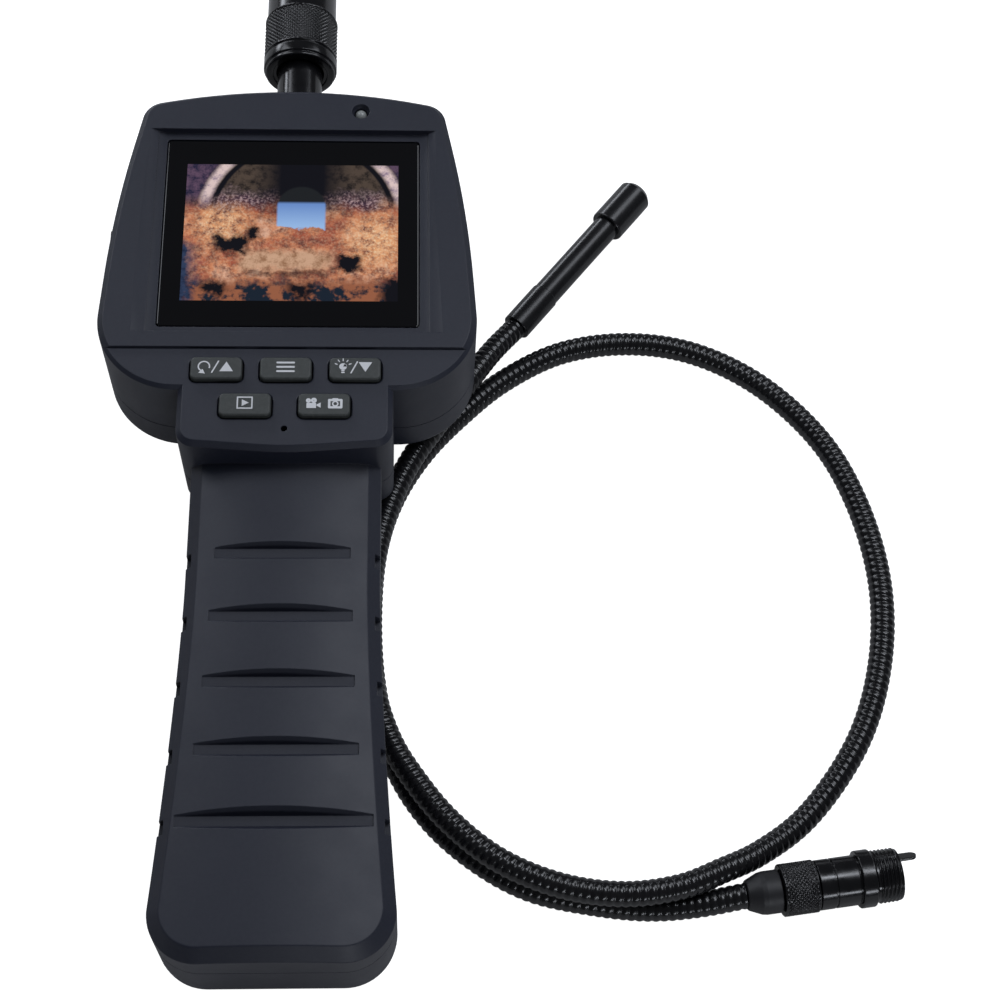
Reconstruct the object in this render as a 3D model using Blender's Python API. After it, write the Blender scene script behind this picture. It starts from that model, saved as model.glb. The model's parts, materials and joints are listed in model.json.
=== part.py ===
"""Inspection camera: a handheld display unit with a ribbed grip and a coupling nut, and its
unplugged gooseneck camera cable, coiled beside and under the unit.

Every length below is in millimetres. +X is to the right of the screen, +Y runs from the grip
to the head, and +Z points out of the screen. The unit lies on its back on the plane Z = 0.
"""

import math

import bmesh
import bpy
from mathutils import Matrix, Vector

MM = 0.001
GAP = 0.3  # clearance between neighbouring pieces
SMALL_RADIUS, COARSE_STEP, FINE_STEP = 5.0, 30.0, 11.0  # degrees turned by each side of an arc
LONGEST_SIDE = 12.0

# Heights of the unit
FACE_Z = 45.5
PANEL_Z = 44.9
SCREEN_FLOOR_Z = 43.5
RIM_Z = 13.5
SEAM_Z = 24.7
GRIP_FRONT_Z = 37.5
WALL = 2.4

# Head outline: right half, from the bottom corner up to the middle of the top, as (x, y, fillet)
HEAD_HALF = [(48.0, -46.1, 20), (44.7, 6, 310), (38.4, 38.65, 6), (0, 46.95, 156)]
HEAD_TOP_Y = 43.4
HEAD_BACK_R, HEAD_CHAMFER = 3.0, 1.5
TONGUE_BACK_R, TONGUE_CHAMFER = 1.5, 1.3
LEAST_EDGE = 0.5
HEAD_CEILING_Z = 40.3
GRIP_CEILING_Z = 33.2  # just over the battery tray, and under the floor of every groove
KEY_CEILING_Z = 42.5
HUMP_HALF = [(26, -23, 9), (26, 23, 9)]
TONGUE_HALF = [(0, -63.2, 80), (26, -61.2, 4.5), (26, -38, 0)]
CREASE_Y = -34.9

# Screen
GLASS_X, GLASS_Y, GLASS_THICK = 64.4, 55.7, 1.3
FRAME_TOP_HALF = [(38.2, -30.5, 0), (36.6, 30.2, 0)]
FRAME_FLOOR_HALF = [(34.4, -29.2, 0), (34.4, 29.8, 0)]
LCD_X, LCD_Y, LCD_LOW_Z, LCD_TOP_Z = 60.0, 47.0, 37.2, 39.8

# Buttons: name -> centre
BUTTONS = {
    "button_rotate_up": (-16.8, -41.2),
    "button_menu": (0.0, -41.2),
    "button_light_down": (16.8, -41.2),
    "button_play": (-9.5, -51.2),
    "button_capture": (9.5, -51.2),
}
BUTTON_X, BUTTON_Y, BUTTON_TOP_Z = 12.5, 6.2, 46.2
BUTTON_FLANGE_Z = (40.9, 42.1)
MEMBRANE_Z = (39.0, 40.2)
BOARD_Z = (33.6, 35.2)
SWITCH_Z = (35.5, 37.5, 38.6)  # foot, top of the base, top of the plunger
SWITCH_SIDE, PLUNGER_R = 6.0, 1.6

LED_XY, LED_R = (17.2, 36.2), 1.5
MIC_XY, MIC_HOLE_R = (0.0, -57.2), 0.8

# Grip
GRIP_TOP_Y, GRIP_END_Y = -50.0, -182.8
GRIP_NARROW, GRIP_FLARE, FLARE_POWER = 23.1, 4.6, 1.52
FLARE_START_Y, FLARE_END_Y = -92.0, -172.6
HEEL_START_Y, HEEL_END_Y = -138.0, -170.0
CROWN, GRIP_CHAMFER, GRIP_BACK_R, GRIP_CORNER_R = 2.6, 3.0, 10.2, 12.0
GRIP_ROWS, GRIP_COLUMNS, GRIP_CORNER_STEPS, GRIP_BACK_STEPS = 18, 8, 5, 4

# Grip grooves: the y of each one's upper floor edge, and its reach as a share of the flat front
GROOVE_Y = [-84.6, -100.7, -117.0, -133.4, -150.0]
GROOVE_REACH = [0.80, 0.83, 0.84, 0.86, 0.97]
GROOVE_SINK = 0.35  # depth of a groove's floor below the front at the groove's ends
GROOVE_FLOOR = 2.4
GROOVE_UPPER_SLOPE, GROOVE_LOWER_SLOPE = 1.8, 2.0
NOTCH_Y, NOTCH_DEPTH, NOTCH_Z = (-3.8, -0.3), 1.3, (29.8, 34.5)

# Battery bay
DOOR_HALF_X, DOOR_TOP_Y, DOOR_LOW_Y = 15.2, -61.0, -169.0
CELL_R, CELL_LENGTH, CELL_X, CELL_Z = 7.1, 50.0, 7.35, 24.4
CELL_Y = [-60.3, -110.6]
DOOR_SCREW_Y = -165.0

CASE_SCREWS = [(-39.5, -29), (39.5, -29), (-34.5, 36.5), (34.5, 36.5), (-20, -173.2), (20, -173.2)]
BOSS_R, SCREW_R, SCREW_HEAD_R, SCREW_TOP_Z = 2.9, 1.1, 2.2, 33.0

# Sockets on the left side, card on the right side
PORT_Y, PORT_Z = (-17.0, 15.0), (30.0, 34.6)
COVER_Y, COVER_Z, COVER_THICK = (-21.0, 19.0), (27.6, 36.8), 1.4
CARD_Y, CARD_Z, CARD_LENGTH = (-11.0, 0.0), (30.6, 31.6), 15.0
CARD_OUT_X = 45.0

# Neck and coupling nut, turned about the line X = 0, Z = NECK_Z
NECK_Z, NECK_R, NECK_BORE_R = 29.5, 6.0, 4.0
NECK_LOW_Y, NECK_END_Y = 33.0, 74.0
FLANGE_R, FLANGE_Y = 8.6, (37.2, 39.6)
STOP_RING_R, STOP_RING_Y = 6.9, (67.6, 69.6)
NUT_LOW_Y, NUT_END_Y = 60.2, 95.0
NUT_RIM_R, NUT_BAND_R, NUT_SLEEVE_R = 9.4, 9.9, 9.35
NUT_BAND_Y, NUT_GROOVE_Y = (1.4, 17.0), (3.9, 4.8)  # from the nut's low end
NUT_BORE_R, NUT_WIDE_BORE_R, NUT_WIDE_BORE_Y = 6.35, 7.4, 6.2

# Camera cable. The gooseneck starts at the ferrule and ends at the connector.
CABLE_R = 3.1
TIP_Z = 4.8
CONNECTOR_Z = 7.0
FERRULE_END = Vector((58.6, -4.4, TIP_Z))
CAMERA_NOSE = Vector((93.6, 39.8, TIP_Z))
CONNECTOR_TAIL = Vector((109.5, -161.4, CONNECTOR_Z))
CONNECTOR_FACE = Vector((146.0, -156.4, CONNECTOR_Z))
LOW = 3.15  # height of the strand on the table
HIGH = 9.45  # height of the strand that lies on another strand
GOOSENECK = [
    (58.6, -4.4, TIP_Z), (51.8, -13.6, 7.4), (45.0, -24.5, HIGH), (37.5, -36.0, HIGH),
    (30.5, -47.0, HIGH), (25.2, -59.0, HIGH), (21.2, -75.0, HIGH), (19.8, -92.0, HIGH),
    (21.0, -109.0, HIGH), (25.5, -123.5, HIGH), (31.5, -133.5, HIGH), (39.5, -143.5, HIGH),
    (51.0, -153.0, HIGH), (65.5, -159.3, HIGH), (80.5, -161.5, HIGH), (94.0, -159.8, HIGH),
    (104.5, -155.4, 7.8), (113.8, -150.6, 5.0), (126.5, -141.0, LOW), (141.0, -121.5, LOW),
    (148.5, -100.5, LOW), (150.5, -78.5, LOW), (146.5, -55.5, LOW), (138.5, -37.5, LOW),
    (123.0, -20.5, LOW), (105.5, -11.0, LOW), (88.0, -8.5, LOW), (70.5, -11.5, LOW),
    (54.8, -20.3, LOW), (43.5, -30.5, LOW), (33.5, -42.0, LOW), (26.0, -55.0, LOW),
    (21.6, -69.5, LOW), (20.2, -91.0, LOW), (22.0, -111.0, LOW), (27.5, -129.0, LOW),
    (35.5, -141.5, LOW), (46.5, -151.5, LOW), (58.5, -158.3, LOW), (73.0, -161.8, LOW),
    (87.0, -163.3, LOW), (98.5, -162.8, 4.4), (109.5, -161.4, CONNECTOR_Z),
]
FERRULE_R, FERRULE_LENGTH, TIP_TUBE_R = 3.9, 13.0, 3.65
HOUSING_R, HOUSING_LENGTH, NOSE_CHAMFER = 4.8, 14.7, 1.3
NOSE_BORE_R, NOSE_BORE_DEPTH, LENS_R = 3.5, 7.5, 1.45
PLUG_STATIONS = (8.0, 16.7, 20.8, 26.8, 30.4)  # ends of relief and ring, groove, flange, its end
RELIEF_R, PLUG_RING_R, PLUG_R, PLUG_FLANGE_R = 5.1, 6.2, 5.9, 6.8
PLUG_THREAD_R, PLUG_MOUTH_R, PLUG_INSERT_R = 6.35, 5.0, 3.5
KEY_AT_R, KEY_OUT, KEY_SIZE = 4.3, 4.6, (3.0, 0.8)
LIFT_AT, SWING_AT = 8.0, 20.0  # path distance of the two bend joints from the ferrule
SOCKET_GAP = 1.2  # between a flat end of the gooseneck and the piece that holds it
BEND_CLEARANCE = 3.7  # from a bend joint to the centre of each rounded end beside it


# ---------------------------------------------------------------- scene and materials


def clear_scene():
    for obj in list(bpy.data.objects):
        bpy.data.objects.remove(obj)


def material(name, color, roughness, metallic=0.0):
    made = bpy.data.materials.new(name)
    made.use_nodes = True
    shader = made.node_tree.nodes["Principled BSDF"]
    shader.inputs["Base Color"].default_value = (*color, 1.0)
    shader.inputs["Roughness"].default_value = roughness
    shader.inputs["Metallic"].default_value = metallic
    return made


def make_materials():
    return {
        "shell": material("shell", (0.028, 0.031, 0.045), 0.45),
        "button": material("button", (0.06, 0.065, 0.062), 0.5),
        "glass": material("glass", (0.01, 0.01, 0.012), 0.08),
        "rubber": material("rubber", (0.02, 0.02, 0.022), 0.8),
        "anodised": material("anodised", (0.02, 0.02, 0.022), 0.35, 0.8),
        "steel": material("steel", (0.55, 0.55, 0.56), 0.3, 1.0),
        "brass": material("brass", (0.7, 0.55, 0.25), 0.3, 1.0),
        "board": material("board", (0.02, 0.12, 0.06), 0.5),
        "inner_plastic": material("inner_plastic", (0.05, 0.05, 0.055), 0.6),
        "lamp": material("lamp", (0.8, 0.82, 0.8), 0.2),
        "cell_jacket": material("cell_jacket", (0.25, 0.27, 0.3), 0.4),
        "gooseneck": material("gooseneck", (0.018, 0.018, 0.02), 0.4),
    }


def add_object(name, bm, finish=None, origin=(0, 0, 0)):
    """Turn a mesh in millimetres into an object in metres whose origin is at the given point."""
    bmesh.ops.translate(bm, verts=bm.verts[:], vec=-Vector(origin))
    bmesh.ops.scale(bm, verts=bm.verts[:], vec=(MM, MM, MM))
    mesh = bpy.data.meshes.new(name)
    bm.to_mesh(mesh)
    bm.free()
    obj = bpy.data.objects.new(name, mesh)
    obj.location = Vector(origin) * MM
    bpy.context.scene.collection.objects.link(obj)
    if finish:
        mesh.materials.append(finish)
    return obj


def combine(target, operation, bm):
    """Add a Boolean modifier to the target, with the given mesh as its hidden tool."""
    number = len(target.modifiers)
    tool = add_object(f"tool_{target.name}_{number}", bm)
    tool.hide_render = True
    tool.display_type = "WIRE"
    modifier = target.modifiers.new(f"{operation.lower()}_{number}", "BOOLEAN")
    modifier.operation = operation
    modifier.object = tool


# ---------------------------------------------------------------- shapes


def whole(right_half):
    """Mirror the right half of an outline; a corner at x = 0 is used once."""
    left = [(-x, y, r) for x, y, r in reversed(right_half) if x]
    return rounded(right_half + left)


def rounded(corners):
    """Points of a closed outline, counter-clockwise, with each corner (x, y, r) rounded to r."""
    points = []
    for i, (x, y, radius) in enumerate(corners):
        here = Vector((x, y))
        if not radius:
            points.append(here)
            continue
        before = (Vector(corners[i - 1][:2]) - here).normalized()
        after = (Vector(corners[(i + 1) % len(corners)][:2]) - here).normalized()
        half = before.angle(after) / 2
        reach = radius / math.tan(half)
        centre = here + (before + after).normalized() * radius / math.sin(half)
        start = here + before * reach - centre
        turn = math.pi - 2 * half
        step = COARSE_STEP if radius < SMALL_RADIUS else FINE_STEP
        steps = max(1, round(math.degrees(turn) / step), round(radius * turn / LONGEST_SIDE))
        for k in range(steps + 1):
            angle = turn * k / steps
            points.append(centre + Matrix.Rotation(angle, 2) @ start)
    return points


def inset(points, distance):
    """Move each side of a closed counter-clockwise outline inwards by the distance."""
    moved = []
    for i, here in enumerate(points):
        before = (here - points[i - 1]).normalized()
        after = (points[(i + 1) % len(points)] - here).normalized()
        inward = Vector((-before.y - after.y, before.x + after.x)).normalized()
        share = inward.dot(Vector((-before.y, before.x)))
        moved.append(here + inward * distance / share)
    return moved


def facing_out(bm):
    """The same closed body with its faces pointing outwards."""
    if bm.calc_volume(signed=True) < 0:
        bmesh.ops.reverse_faces(bm, faces=bm.faces[:])
    return bm


def loft(rings):
    """Join rings of equal length into one closed body with flat ends."""
    bm = bmesh.new()
    made = [[bm.verts.new(point) for point in ring] for ring in rings]
    count = len(made[0])
    for low, high in zip(made, made[1:]):
        for i in range(count):
            j = (i + 1) % count
            bm.faces.new((low[i], low[j], high[j], high[i]))
    bm.faces.new(list(reversed(made[0])))
    bm.faces.new(made[-1])
    return facing_out(bm)


def plate(points, levels):
    """A body over an outline; each level is (height, inset of the outline there)."""
    return loft([[(p.x, p.y, z) for p in inset(points, d)] for z, d in levels])


def block(x_range, y_range, z_range):
    (x0, x1), (y0, y1), (z0, z1) = x_range, y_range, z_range
    corners = [Vector((x0, y0)), Vector((x1, y0)), Vector((x1, y1)), Vector((x0, y1))]
    return plate(corners, [(z0, 0), (z1, 0)])


def rectangle(size_x, size_y, radius, centre=(0, 0)):
    x, y = size_x / 2, size_y / 2
    cx, cy = centre
    corners = [(cx - x, cy - y), (cx + x, cy - y), (cx + x, cy + y), (cx - x, cy + y)]
    return rounded([(*corner, radius) for corner in corners])


def turned(profile, start, direction, segments=24):
    """Turn a closed profile of (radius, distance) about the line from start along direction."""
    bm = bmesh.new()
    frame = direction.to_track_quat("Z", "Y").to_matrix().to_4x4()
    place = Matrix.Translation(start) @ frame
    rings = []
    for radius, along in profile:
        if radius == 0:
            rings.append([bm.verts.new(place @ Vector((0, 0, along)))])
            continue
        angles = [2 * math.pi * k / segments for k in range(segments)]
        points = [(radius * math.cos(a), radius * math.sin(a), along) for a in angles]
        rings.append([bm.verts.new(place @ Vector(p)) for p in points])
    for i, ring in enumerate(rings):
        other = rings[(i + 1) % len(rings)]
        for k in range(segments):
            m = (k + 1) % segments
            if len(ring) > 1 and len(other) > 1:
                bm.faces.new((ring[k], ring[m], other[m], other[k]))
            elif len(other) > 1:
                bm.faces.new((ring[0], other[m], other[k]))
            elif len(ring) > 1:
                bm.faces.new((ring[k], ring[m], other[0]))
    return facing_out(bm)


def rod(radius, start, end, segments=20):
    """A plain round bar between two points."""
    start, end = Vector(start), Vector(end)
    length = (end - start).length
    profile = [(0, 0), (radius, 0), (radius, length), (0, length)]
    return turned(profile, start, end - start, segments)


def merged(bodies):
    """Put several separate bodies into one mesh, for use as one Boolean tool."""
    whole_bm = bmesh.new()
    for bm in bodies:
        mesh = bpy.data.meshes.new("body")
        bm.to_mesh(mesh)
        bm.free()
        whole_bm.from_mesh(mesh)
        bpy.data.meshes.remove(mesh)
    return whole_bm


def edge_levels(low, high, back_radius, chamfer, steps=3):
    """Levels of a plate whose lower edge is rounded and whose upper edge is chamfered."""
    levels = []
    for k in range(steps + 1):
        angle = math.pi / 2 * k / steps
        rise = back_radius * (1 - math.cos(angle))
        levels.append((low + rise, back_radius * (1 - math.sin(angle))))
    return levels + [(high - chamfer, 0), (high, chamfer)]


# ---------------------------------------------------------------- casing bodies


def head_body(shrink=0.0, low=RIM_Z, high=FACE_Z):
    back, front = max(HEAD_BACK_R - shrink, LEAST_EDGE), max(HEAD_CHAMFER - shrink, LEAST_EDGE)
    return plate(inset(whole(HEAD_HALF), shrink), edge_levels(low, high, back, front))


def hump_body(shrink=0.0):
    levels = [(shrink, 3.0 + shrink), (1.2 + shrink, 1.0 + shrink), (3.5 + shrink, shrink)]
    return plate(whole(HUMP_HALF), levels + [(RIM_Z + 3.4, shrink)])


def tongue_body(shrink=0.0, low=RIM_Z, high=PANEL_Z):
    back, front = max(TONGUE_BACK_R - shrink, LEAST_EDGE), max(TONGUE_CHAMFER - shrink, LEAST_EDGE)
    return plate(inset(whole(TONGUE_HALF), shrink), edge_levels(low, high, back, front))


def smooth_step(t):
    t = min(max(t, 0.0), 1.0)
    return t * t * (3 - 2 * t)


def grip_half_width(y):
    flare = max(0.0, (FLARE_START_Y - y) / (FLARE_START_Y - FLARE_END_Y))
    return GRIP_NARROW + GRIP_FLARE * flare**FLARE_POWER


def grip_back(y):
    heel = (HEEL_START_Y - y) / (HEEL_START_Y - HEEL_END_Y)
    return RIM_Z * (1 - smooth_step(heel))


def grip_front(x, y):
    """Height of the crowned front."""
    share = min(abs(x) / (grip_half_width(y) - GRIP_CHAMFER), 1.0)
    return GRIP_FRONT_Z - CROWN * share * share


def grip_ring(depth):
    """The grip's plan at a depth under its sides: right side, low end, left side, top end."""
    low = GRIP_END_Y + GRIP_CORNER_R
    right = []
    for k in range(GRIP_ROWS):
        y = GRIP_TOP_Y + (low - GRIP_TOP_Y) * k / GRIP_ROWS
        right.append((grip_half_width(y) - depth, y))
    middle_x, radius = grip_half_width(low) - GRIP_CORNER_R, GRIP_CORNER_R - depth
    for k in range(GRIP_CORNER_STEPS + 1):
        angle = math.pi / 2 * k / GRIP_CORNER_STEPS
        right.append((middle_x + radius * math.cos(angle), low - radius * math.sin(angle)))
    shares = [1 - 2 * k / GRIP_COLUMNS for k in range(1, GRIP_COLUMNS)]
    end = [(right[-1][0] * share, right[-1][1]) for share in shares]
    top = [(-right[0][0] * share, right[0][1]) for share in shares]
    left = [(-x, y) for x, y in reversed(right)]
    return right + end + left + top


def grip_body(shrink=0.0):
    """The grip: chamfered and crowned front, deep back corners, square ends under the head."""
    chamfer = GRIP_CHAMFER - shrink * (2 - math.sqrt(2))
    radius = GRIP_BACK_R - shrink
    ceiling = GRIP_CEILING_Z if shrink else GRIP_FRONT_Z
    bm = bmesh.new()
    rings = []

    def add_ring(depth, height):
        rings.append([bm.verts.new((x, y, height(x, y))) for x, y in grip_ring(depth + shrink)])

    def back(rise):
        return lambda x, y: grip_back(y) + shrink + rise

    def front(drop):
        return lambda x, y: min(grip_front(x, y) - shrink, ceiling) - drop

    for k in range(GRIP_BACK_STEPS + 1):
        angle = math.pi / 2 * k / GRIP_BACK_STEPS
        add_ring(radius * (1 - math.sin(angle)), back(radius * (1 - math.cos(angle))))
    add_ring(0, front(chamfer))
    add_ring(chamfer, front(0))
    for low, high in zip(rings, rings[1:]):
        for i in range(len(low)):
            j = (i + 1) % len(low)
            bm.faces.new((low[j], low[i], high[i], high[j]))
    fill(bm, rings[0], back(0), -1)
    fill(bm, rings[-1], front(0), 1)
    return facing_out(bm)


def fill(bm, ring, height, side):
    """Close one of the grip's rings with rows that run from its right side to its left side."""
    rows, columns = GRIP_ROWS + GRIP_CORNER_STEPS + 1, GRIP_COLUMNS
    right = ring[:rows]
    end = ring[rows : rows + columns - 1]
    left = ring[rows + columns - 1 : 2 * rows + columns - 1][::-1]
    top = ring[2 * rows + columns - 1 :][::-1]
    grid = [[right[0], *top, left[0]]]
    for a, b in zip(right[1:-1], left[1:-1]):
        row = [a]
        for j in range(1, columns):
            p = a.co.lerp(b.co, j / columns)
            row.append(bm.verts.new((p.x, p.y, height(p.x, p.y))))
        grid.append([*row, b])
    grid.append([right[-1], *end, left[-1]])
    for one, other in zip(grid, grid[1:]):
        for j in range(columns):
            corners = (one[j], one[j + 1], other[j + 1], other[j])
            bm.faces.new(corners[::side])


def groove_tools():
    """Each groove is a flat-floored channel that fades out where the crown falls to its floor."""
    tools = []
    for y, reach in zip(GROOVE_Y, GROOVE_REACH):
        floor = GRIP_FRONT_Z - CROWN * reach * reach - GROOVE_SINK
        above = GRIP_FRONT_Z + 1
        low = y - GROOVE_FLOOR
        section = [(low, floor), (y, floor), (y + (above - floor) / GROOVE_UPPER_SLOPE, above)]
        section.append((low - (above - floor) / GROOVE_LOWER_SLOPE, above))
        x = (grip_half_width(y) - GRIP_CHAMFER) * reach
        tools.append(loft([[(-x, *p) for p in section], [(x, *p) for p in section]]))
    return tools


def notch_tools():
    tools = []
    for y in GROOVE_Y:
        y_range = [y + offset for offset in NOTCH_Y]
        half = grip_half_width(sum(y_range) / 2)
        for side in (-1, 1):
            x_range = sorted((side * (half - NOTCH_DEPTH), side * (half + 2)))
            tools.append(block(x_range, y_range, NOTCH_Z))
    return tools


def screw_low_z(y):
    return grip_back(y) if y < GRIP_TOP_Y else RIM_Z


def case_screw_holes():
    tools = []
    for x, y in CASE_SCREWS:
        low = screw_low_z(y)
        head, shank = SCREW_HEAD_R + GAP, SCREW_R + 0.25
        deep = SCREW_TOP_Z - low + 0.6
        profile = [(0, -2), (head, -2), (head, 1.5), (shank, 1.5), (shank, deep), (0, deep)]
        tools.append(turned(profile, Vector((x, y, low)), Vector((0, 0, 1)), 16))
    return tools


def shell(name, z_range, finish):
    """One half of the casing: head, tongue and grip joined, kept inside z_range, hollowed."""
    half = add_object(name, head_body(), finish)
    combine(half, "UNION", tongue_body())
    combine(half, "UNION", grip_body())
    if z_range[0] < RIM_Z:
        combine(half, "UNION", hump_body())
    hollow_low = RIM_Z + WALL
    combine(half, "DIFFERENCE", head_body(WALL, hollow_low, HEAD_CEILING_Z))
    combine(half, "DIFFERENCE", tongue_body(WALL, hollow_low, KEY_CEILING_Z))
    combine(half, "DIFFERENCE", grip_body(WALL))
    combine(half, "INTERSECT", block((-80, 80), (-220, 120), z_range))
    return half


def boss_tools(z_low_of, z_high_of):
    tools = []
    for x, y in CASE_SCREWS:
        tools.append(rod(BOSS_R, (x, y, z_low_of(y)), (x, y, z_high_of(y)), 16))
    return tools


def wall_strip(depth_from, depth_to):
    """A band of the head's side wall between two depths, for the port cover and its pocket."""
    band = add_object("band", plate(inset(whole(HEAD_HALF), depth_from), [(20, 0), (42, 0)]))
    combine(band, "DIFFERENCE", plate(inset(whole(HEAD_HALF), depth_to), [(19, 0), (43, 0)]))
    return band


def front_shell(mats):
    body = shell("front_shell", (SEAM_Z + GAP / 2, 60), mats["shell"])
    bosses = boss_tools(lambda y: SEAM_Z + GAP / 2, boss_top)
    combine(body, "UNION", merged(bosses))
    combine(body, "DIFFERENCE", merged(case_screw_holes()))
    key_room = block((-25, 25), (-46, CREASE_Y + 0.5), (HEAD_CEILING_Z - 1, KEY_CEILING_Z))
    combine(body, "DIFFERENCE", key_room)
    combine(body, "DIFFERENCE", block((-60, 60), (-100, CREASE_Y), (PANEL_Z, FACE_Z + 5)))
    floor, top = whole(FRAME_FLOOR_HALF), whole(FRAME_TOP_HALF)
    rise = 1.5
    above = [p + (p - q) * (rise - 1) for p, q in zip(top, floor)]
    rings = [[(p.x, p.y, SCREEN_FLOOR_Z) for p in floor]]
    rings.append([(p.x, p.y, SCREEN_FLOOR_Z + (FACE_Z - SCREEN_FLOOR_Z) * rise) for p in above])
    combine(body, "DIFFERENCE", loft(rings))
    seat_low = SCREEN_FLOOR_Z - GLASS_THICK - GAP
    seat = rectangle(GLASS_X + 2 * GAP, GLASS_Y + 2 * GAP, 1)
    combine(body, "DIFFERENCE", plate(seat, [(seat_low, 0), (FACE_Z + 1, 0)]))
    window = rectangle(LCD_X - 3, LCD_Y - 3, 1)
    combine(body, "DIFFERENCE", plate(window, [(HEAD_CEILING_Z - 2, 0), (SCREEN_FLOOR_Z, 0)]))
    tools = []
    for x, y in BUTTONS.values():
        hole = rectangle(BUTTON_X + 2 * GAP, BUTTON_Y + 2 * GAP, 1.6, (x, y))
        tools.append(plate(hole, [(KEY_CEILING_Z - 1, 0), (PANEL_Z + 2, 0)]))
    x, y = LED_XY
    led = [(0, -8), (1.75, -8), (1.75, -1.4), (2.15, -1.2), (2.3, 2), (0, 2)]
    tools.append(turned(led, Vector((x, y, FACE_Z)), Vector((0, 0, 1)), 20))
    tools.append(rod(MIC_HOLE_R, (*MIC_XY, KEY_CEILING_Z - 3), (*MIC_XY, PANEL_Z + 2), 12))
    combine(body, "DIFFERENCE", merged(tools))
    combine(body, "DIFFERENCE", merged(groove_tools()))
    combine(body, "DIFFERENCE", merged(notch_tools()))
    combine(body, "DIFFERENCE", neck_hole())
    cut_side_openings(body)
    return body


def boss_top(y):
    """Bosses run up into the ceiling above them."""
    return GRIP_FRONT_Z - 3.5 if y < GRIP_TOP_Y else HEAD_CEILING_Z + 0.5


def neck_hole():
    return rod(NECK_R + GAP, (0, 36, NECK_Z), (0, HEAD_TOP_Y + 6, NECK_Z), 32)


def cut_side_openings(body):
    """The pocket and opening for the sockets on the left, and the card slot on the right."""
    pocket = wall_strip(-2.0, COVER_THICK + 0.35)
    y_range = (COVER_Y[0] - GAP, COVER_Y[1] + GAP)
    z_range = (COVER_Z[0] - GAP, COVER_Z[1] + GAP)
    combine(pocket, "INTERSECT", block((-60, 0), y_range, z_range))
    pocket.name = "tool_port_pocket"
    pocket.hide_render = True
    pocket.display_type = "WIRE"
    modifier = body.modifiers.new("port_pocket", "BOOLEAN")
    modifier.operation = "DIFFERENCE"
    modifier.object = pocket
    combine(body, "DIFFERENCE", block((-60, -40), PORT_Y, PORT_Z))
    slot_y = (CARD_Y[0] - GAP, CARD_Y[1] + GAP)
    slot_z = (CARD_Z[0] - GAP, CARD_Z[1] + GAP)
    combine(body, "DIFFERENCE", block((40, 60), slot_y, slot_z))


def rear_shell(mats):
    body = shell("rear_shell", (-1, SEAM_Z - GAP / 2), mats["shell"])
    combine(body, "DIFFERENCE", hump_body(WALL))
    bosses = boss_tools(lambda y: screw_low_z(y) + 1.5, lambda y: SEAM_Z - GAP / 2)
    combine(body, "UNION", merged(bosses))
    combine(body, "DIFFERENCE", merged(case_screw_holes()))
    combine(body, "DIFFERENCE", neck_hole())
    x = DOOR_HALF_X + 0.35
    y_range = (DOOR_LOW_Y - 0.35, DOOR_TOP_Y + 0.35)
    combine(body, "DIFFERENCE", block((-x, x), y_range, (-5, 20)))
    return body


def battery_door(mats):
    """The part of the grip's back wall over the cells, hinged at its head end."""
    hinge = (0, DOOR_TOP_Y, RIM_Z)
    door = add_object("battery_door", grip_body(), mats["shell"], hinge)
    combine(door, "DIFFERENCE", grip_body(WALL))
    x_range = (-DOOR_HALF_X, DOOR_HALF_X)
    combine(door, "INTERSECT", block(x_range, (DOOR_LOW_Y, DOOR_TOP_Y), (-5, 19)))
    low = grip_back(DOOR_SCREW_Y)
    profile = [(0, -3), (2.8, -3), (2.8, 1.3), (1.4, 1.3), (1.4, 5), (0, 5)]
    seat = turned(profile, Vector((0, DOOR_SCREW_Y, low)), Vector((0, 0, 1)), 20)
    combine(door, "DIFFERENCE", seat)
    ribs = []
    for k in range(6):
        y = -150 + 3.0 * k
        ribs.append(rod(0.9, (-9, y, grip_back(y) - 0.35), (9, y, grip_back(y) - 0.35), 10))
    combine(door, "DIFFERENCE", merged(ribs))
    profile = [(0, 0.3), (2.3, 0.3), (2.3, 1.0), (1.1, 1.0), (1.1, 6), (0, 6)]
    screw = turned(profile, Vector((0, DOOR_SCREW_Y, low)), Vector((0, 0, 1)), 16)
    screw = add_object("battery_door_screw", screw, mats["steel"], hinge)
    add_screw_slot(screw, 0, DOOR_SCREW_Y, low + 0.3)


def add_screw_slot(screw, x, y, z):
    arms = [block((x - 1.4, x + 1.4), (y - 0.3, y + 0.3), (z - 1, z + 0.4))]
    combine(screw, "DIFFERENCE", merged(arms))
    arms = [block((x - 0.3, x + 0.3), (y - 1.4, y + 1.4), (z - 1, z + 0.4))]
    combine(screw, "DIFFERENCE", merged(arms))


def case_screws(mats):
    for number, (x, y) in enumerate(CASE_SCREWS, start=1):
        low = screw_low_z(y)
        top = SCREW_TOP_Z - low
        profile = [(0, 0.4), (SCREW_HEAD_R, 0.4), (SCREW_HEAD_R, 1.2), (SCREW_R, 1.2)]
        profile += [(SCREW_R, top - 0.6), (SCREW_R - 0.5, top), (0, top)]
        bm = turned(profile, Vector((x, y, low)), Vector((0, 0, 1)), 12)
        screw = add_object(f"case_screw_{number}", bm, mats["steel"])
        add_screw_slot(screw, x, y, low + 0.4)


# ---------------------------------------------------------------- screen, keys and boards


def screen(mats):
    glass = rectangle(GLASS_X, GLASS_Y, 0.8)
    top = SCREEN_FLOOR_Z
    levels = [(top - GLASS_THICK, 0), (top - 0.25, 0), (top, 0.25)]
    add_object("screen_window", plate(glass, levels), mats["glass"])
    panel = rectangle(LCD_X, LCD_Y, 0.6)
    levels = [(LCD_LOW_Z, 0), (LCD_TOP_Z - 0.4, 0), (LCD_TOP_Z, 0.4)]
    add_object("lcd_panel", plate(panel, levels), mats["inner_plastic"])


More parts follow.
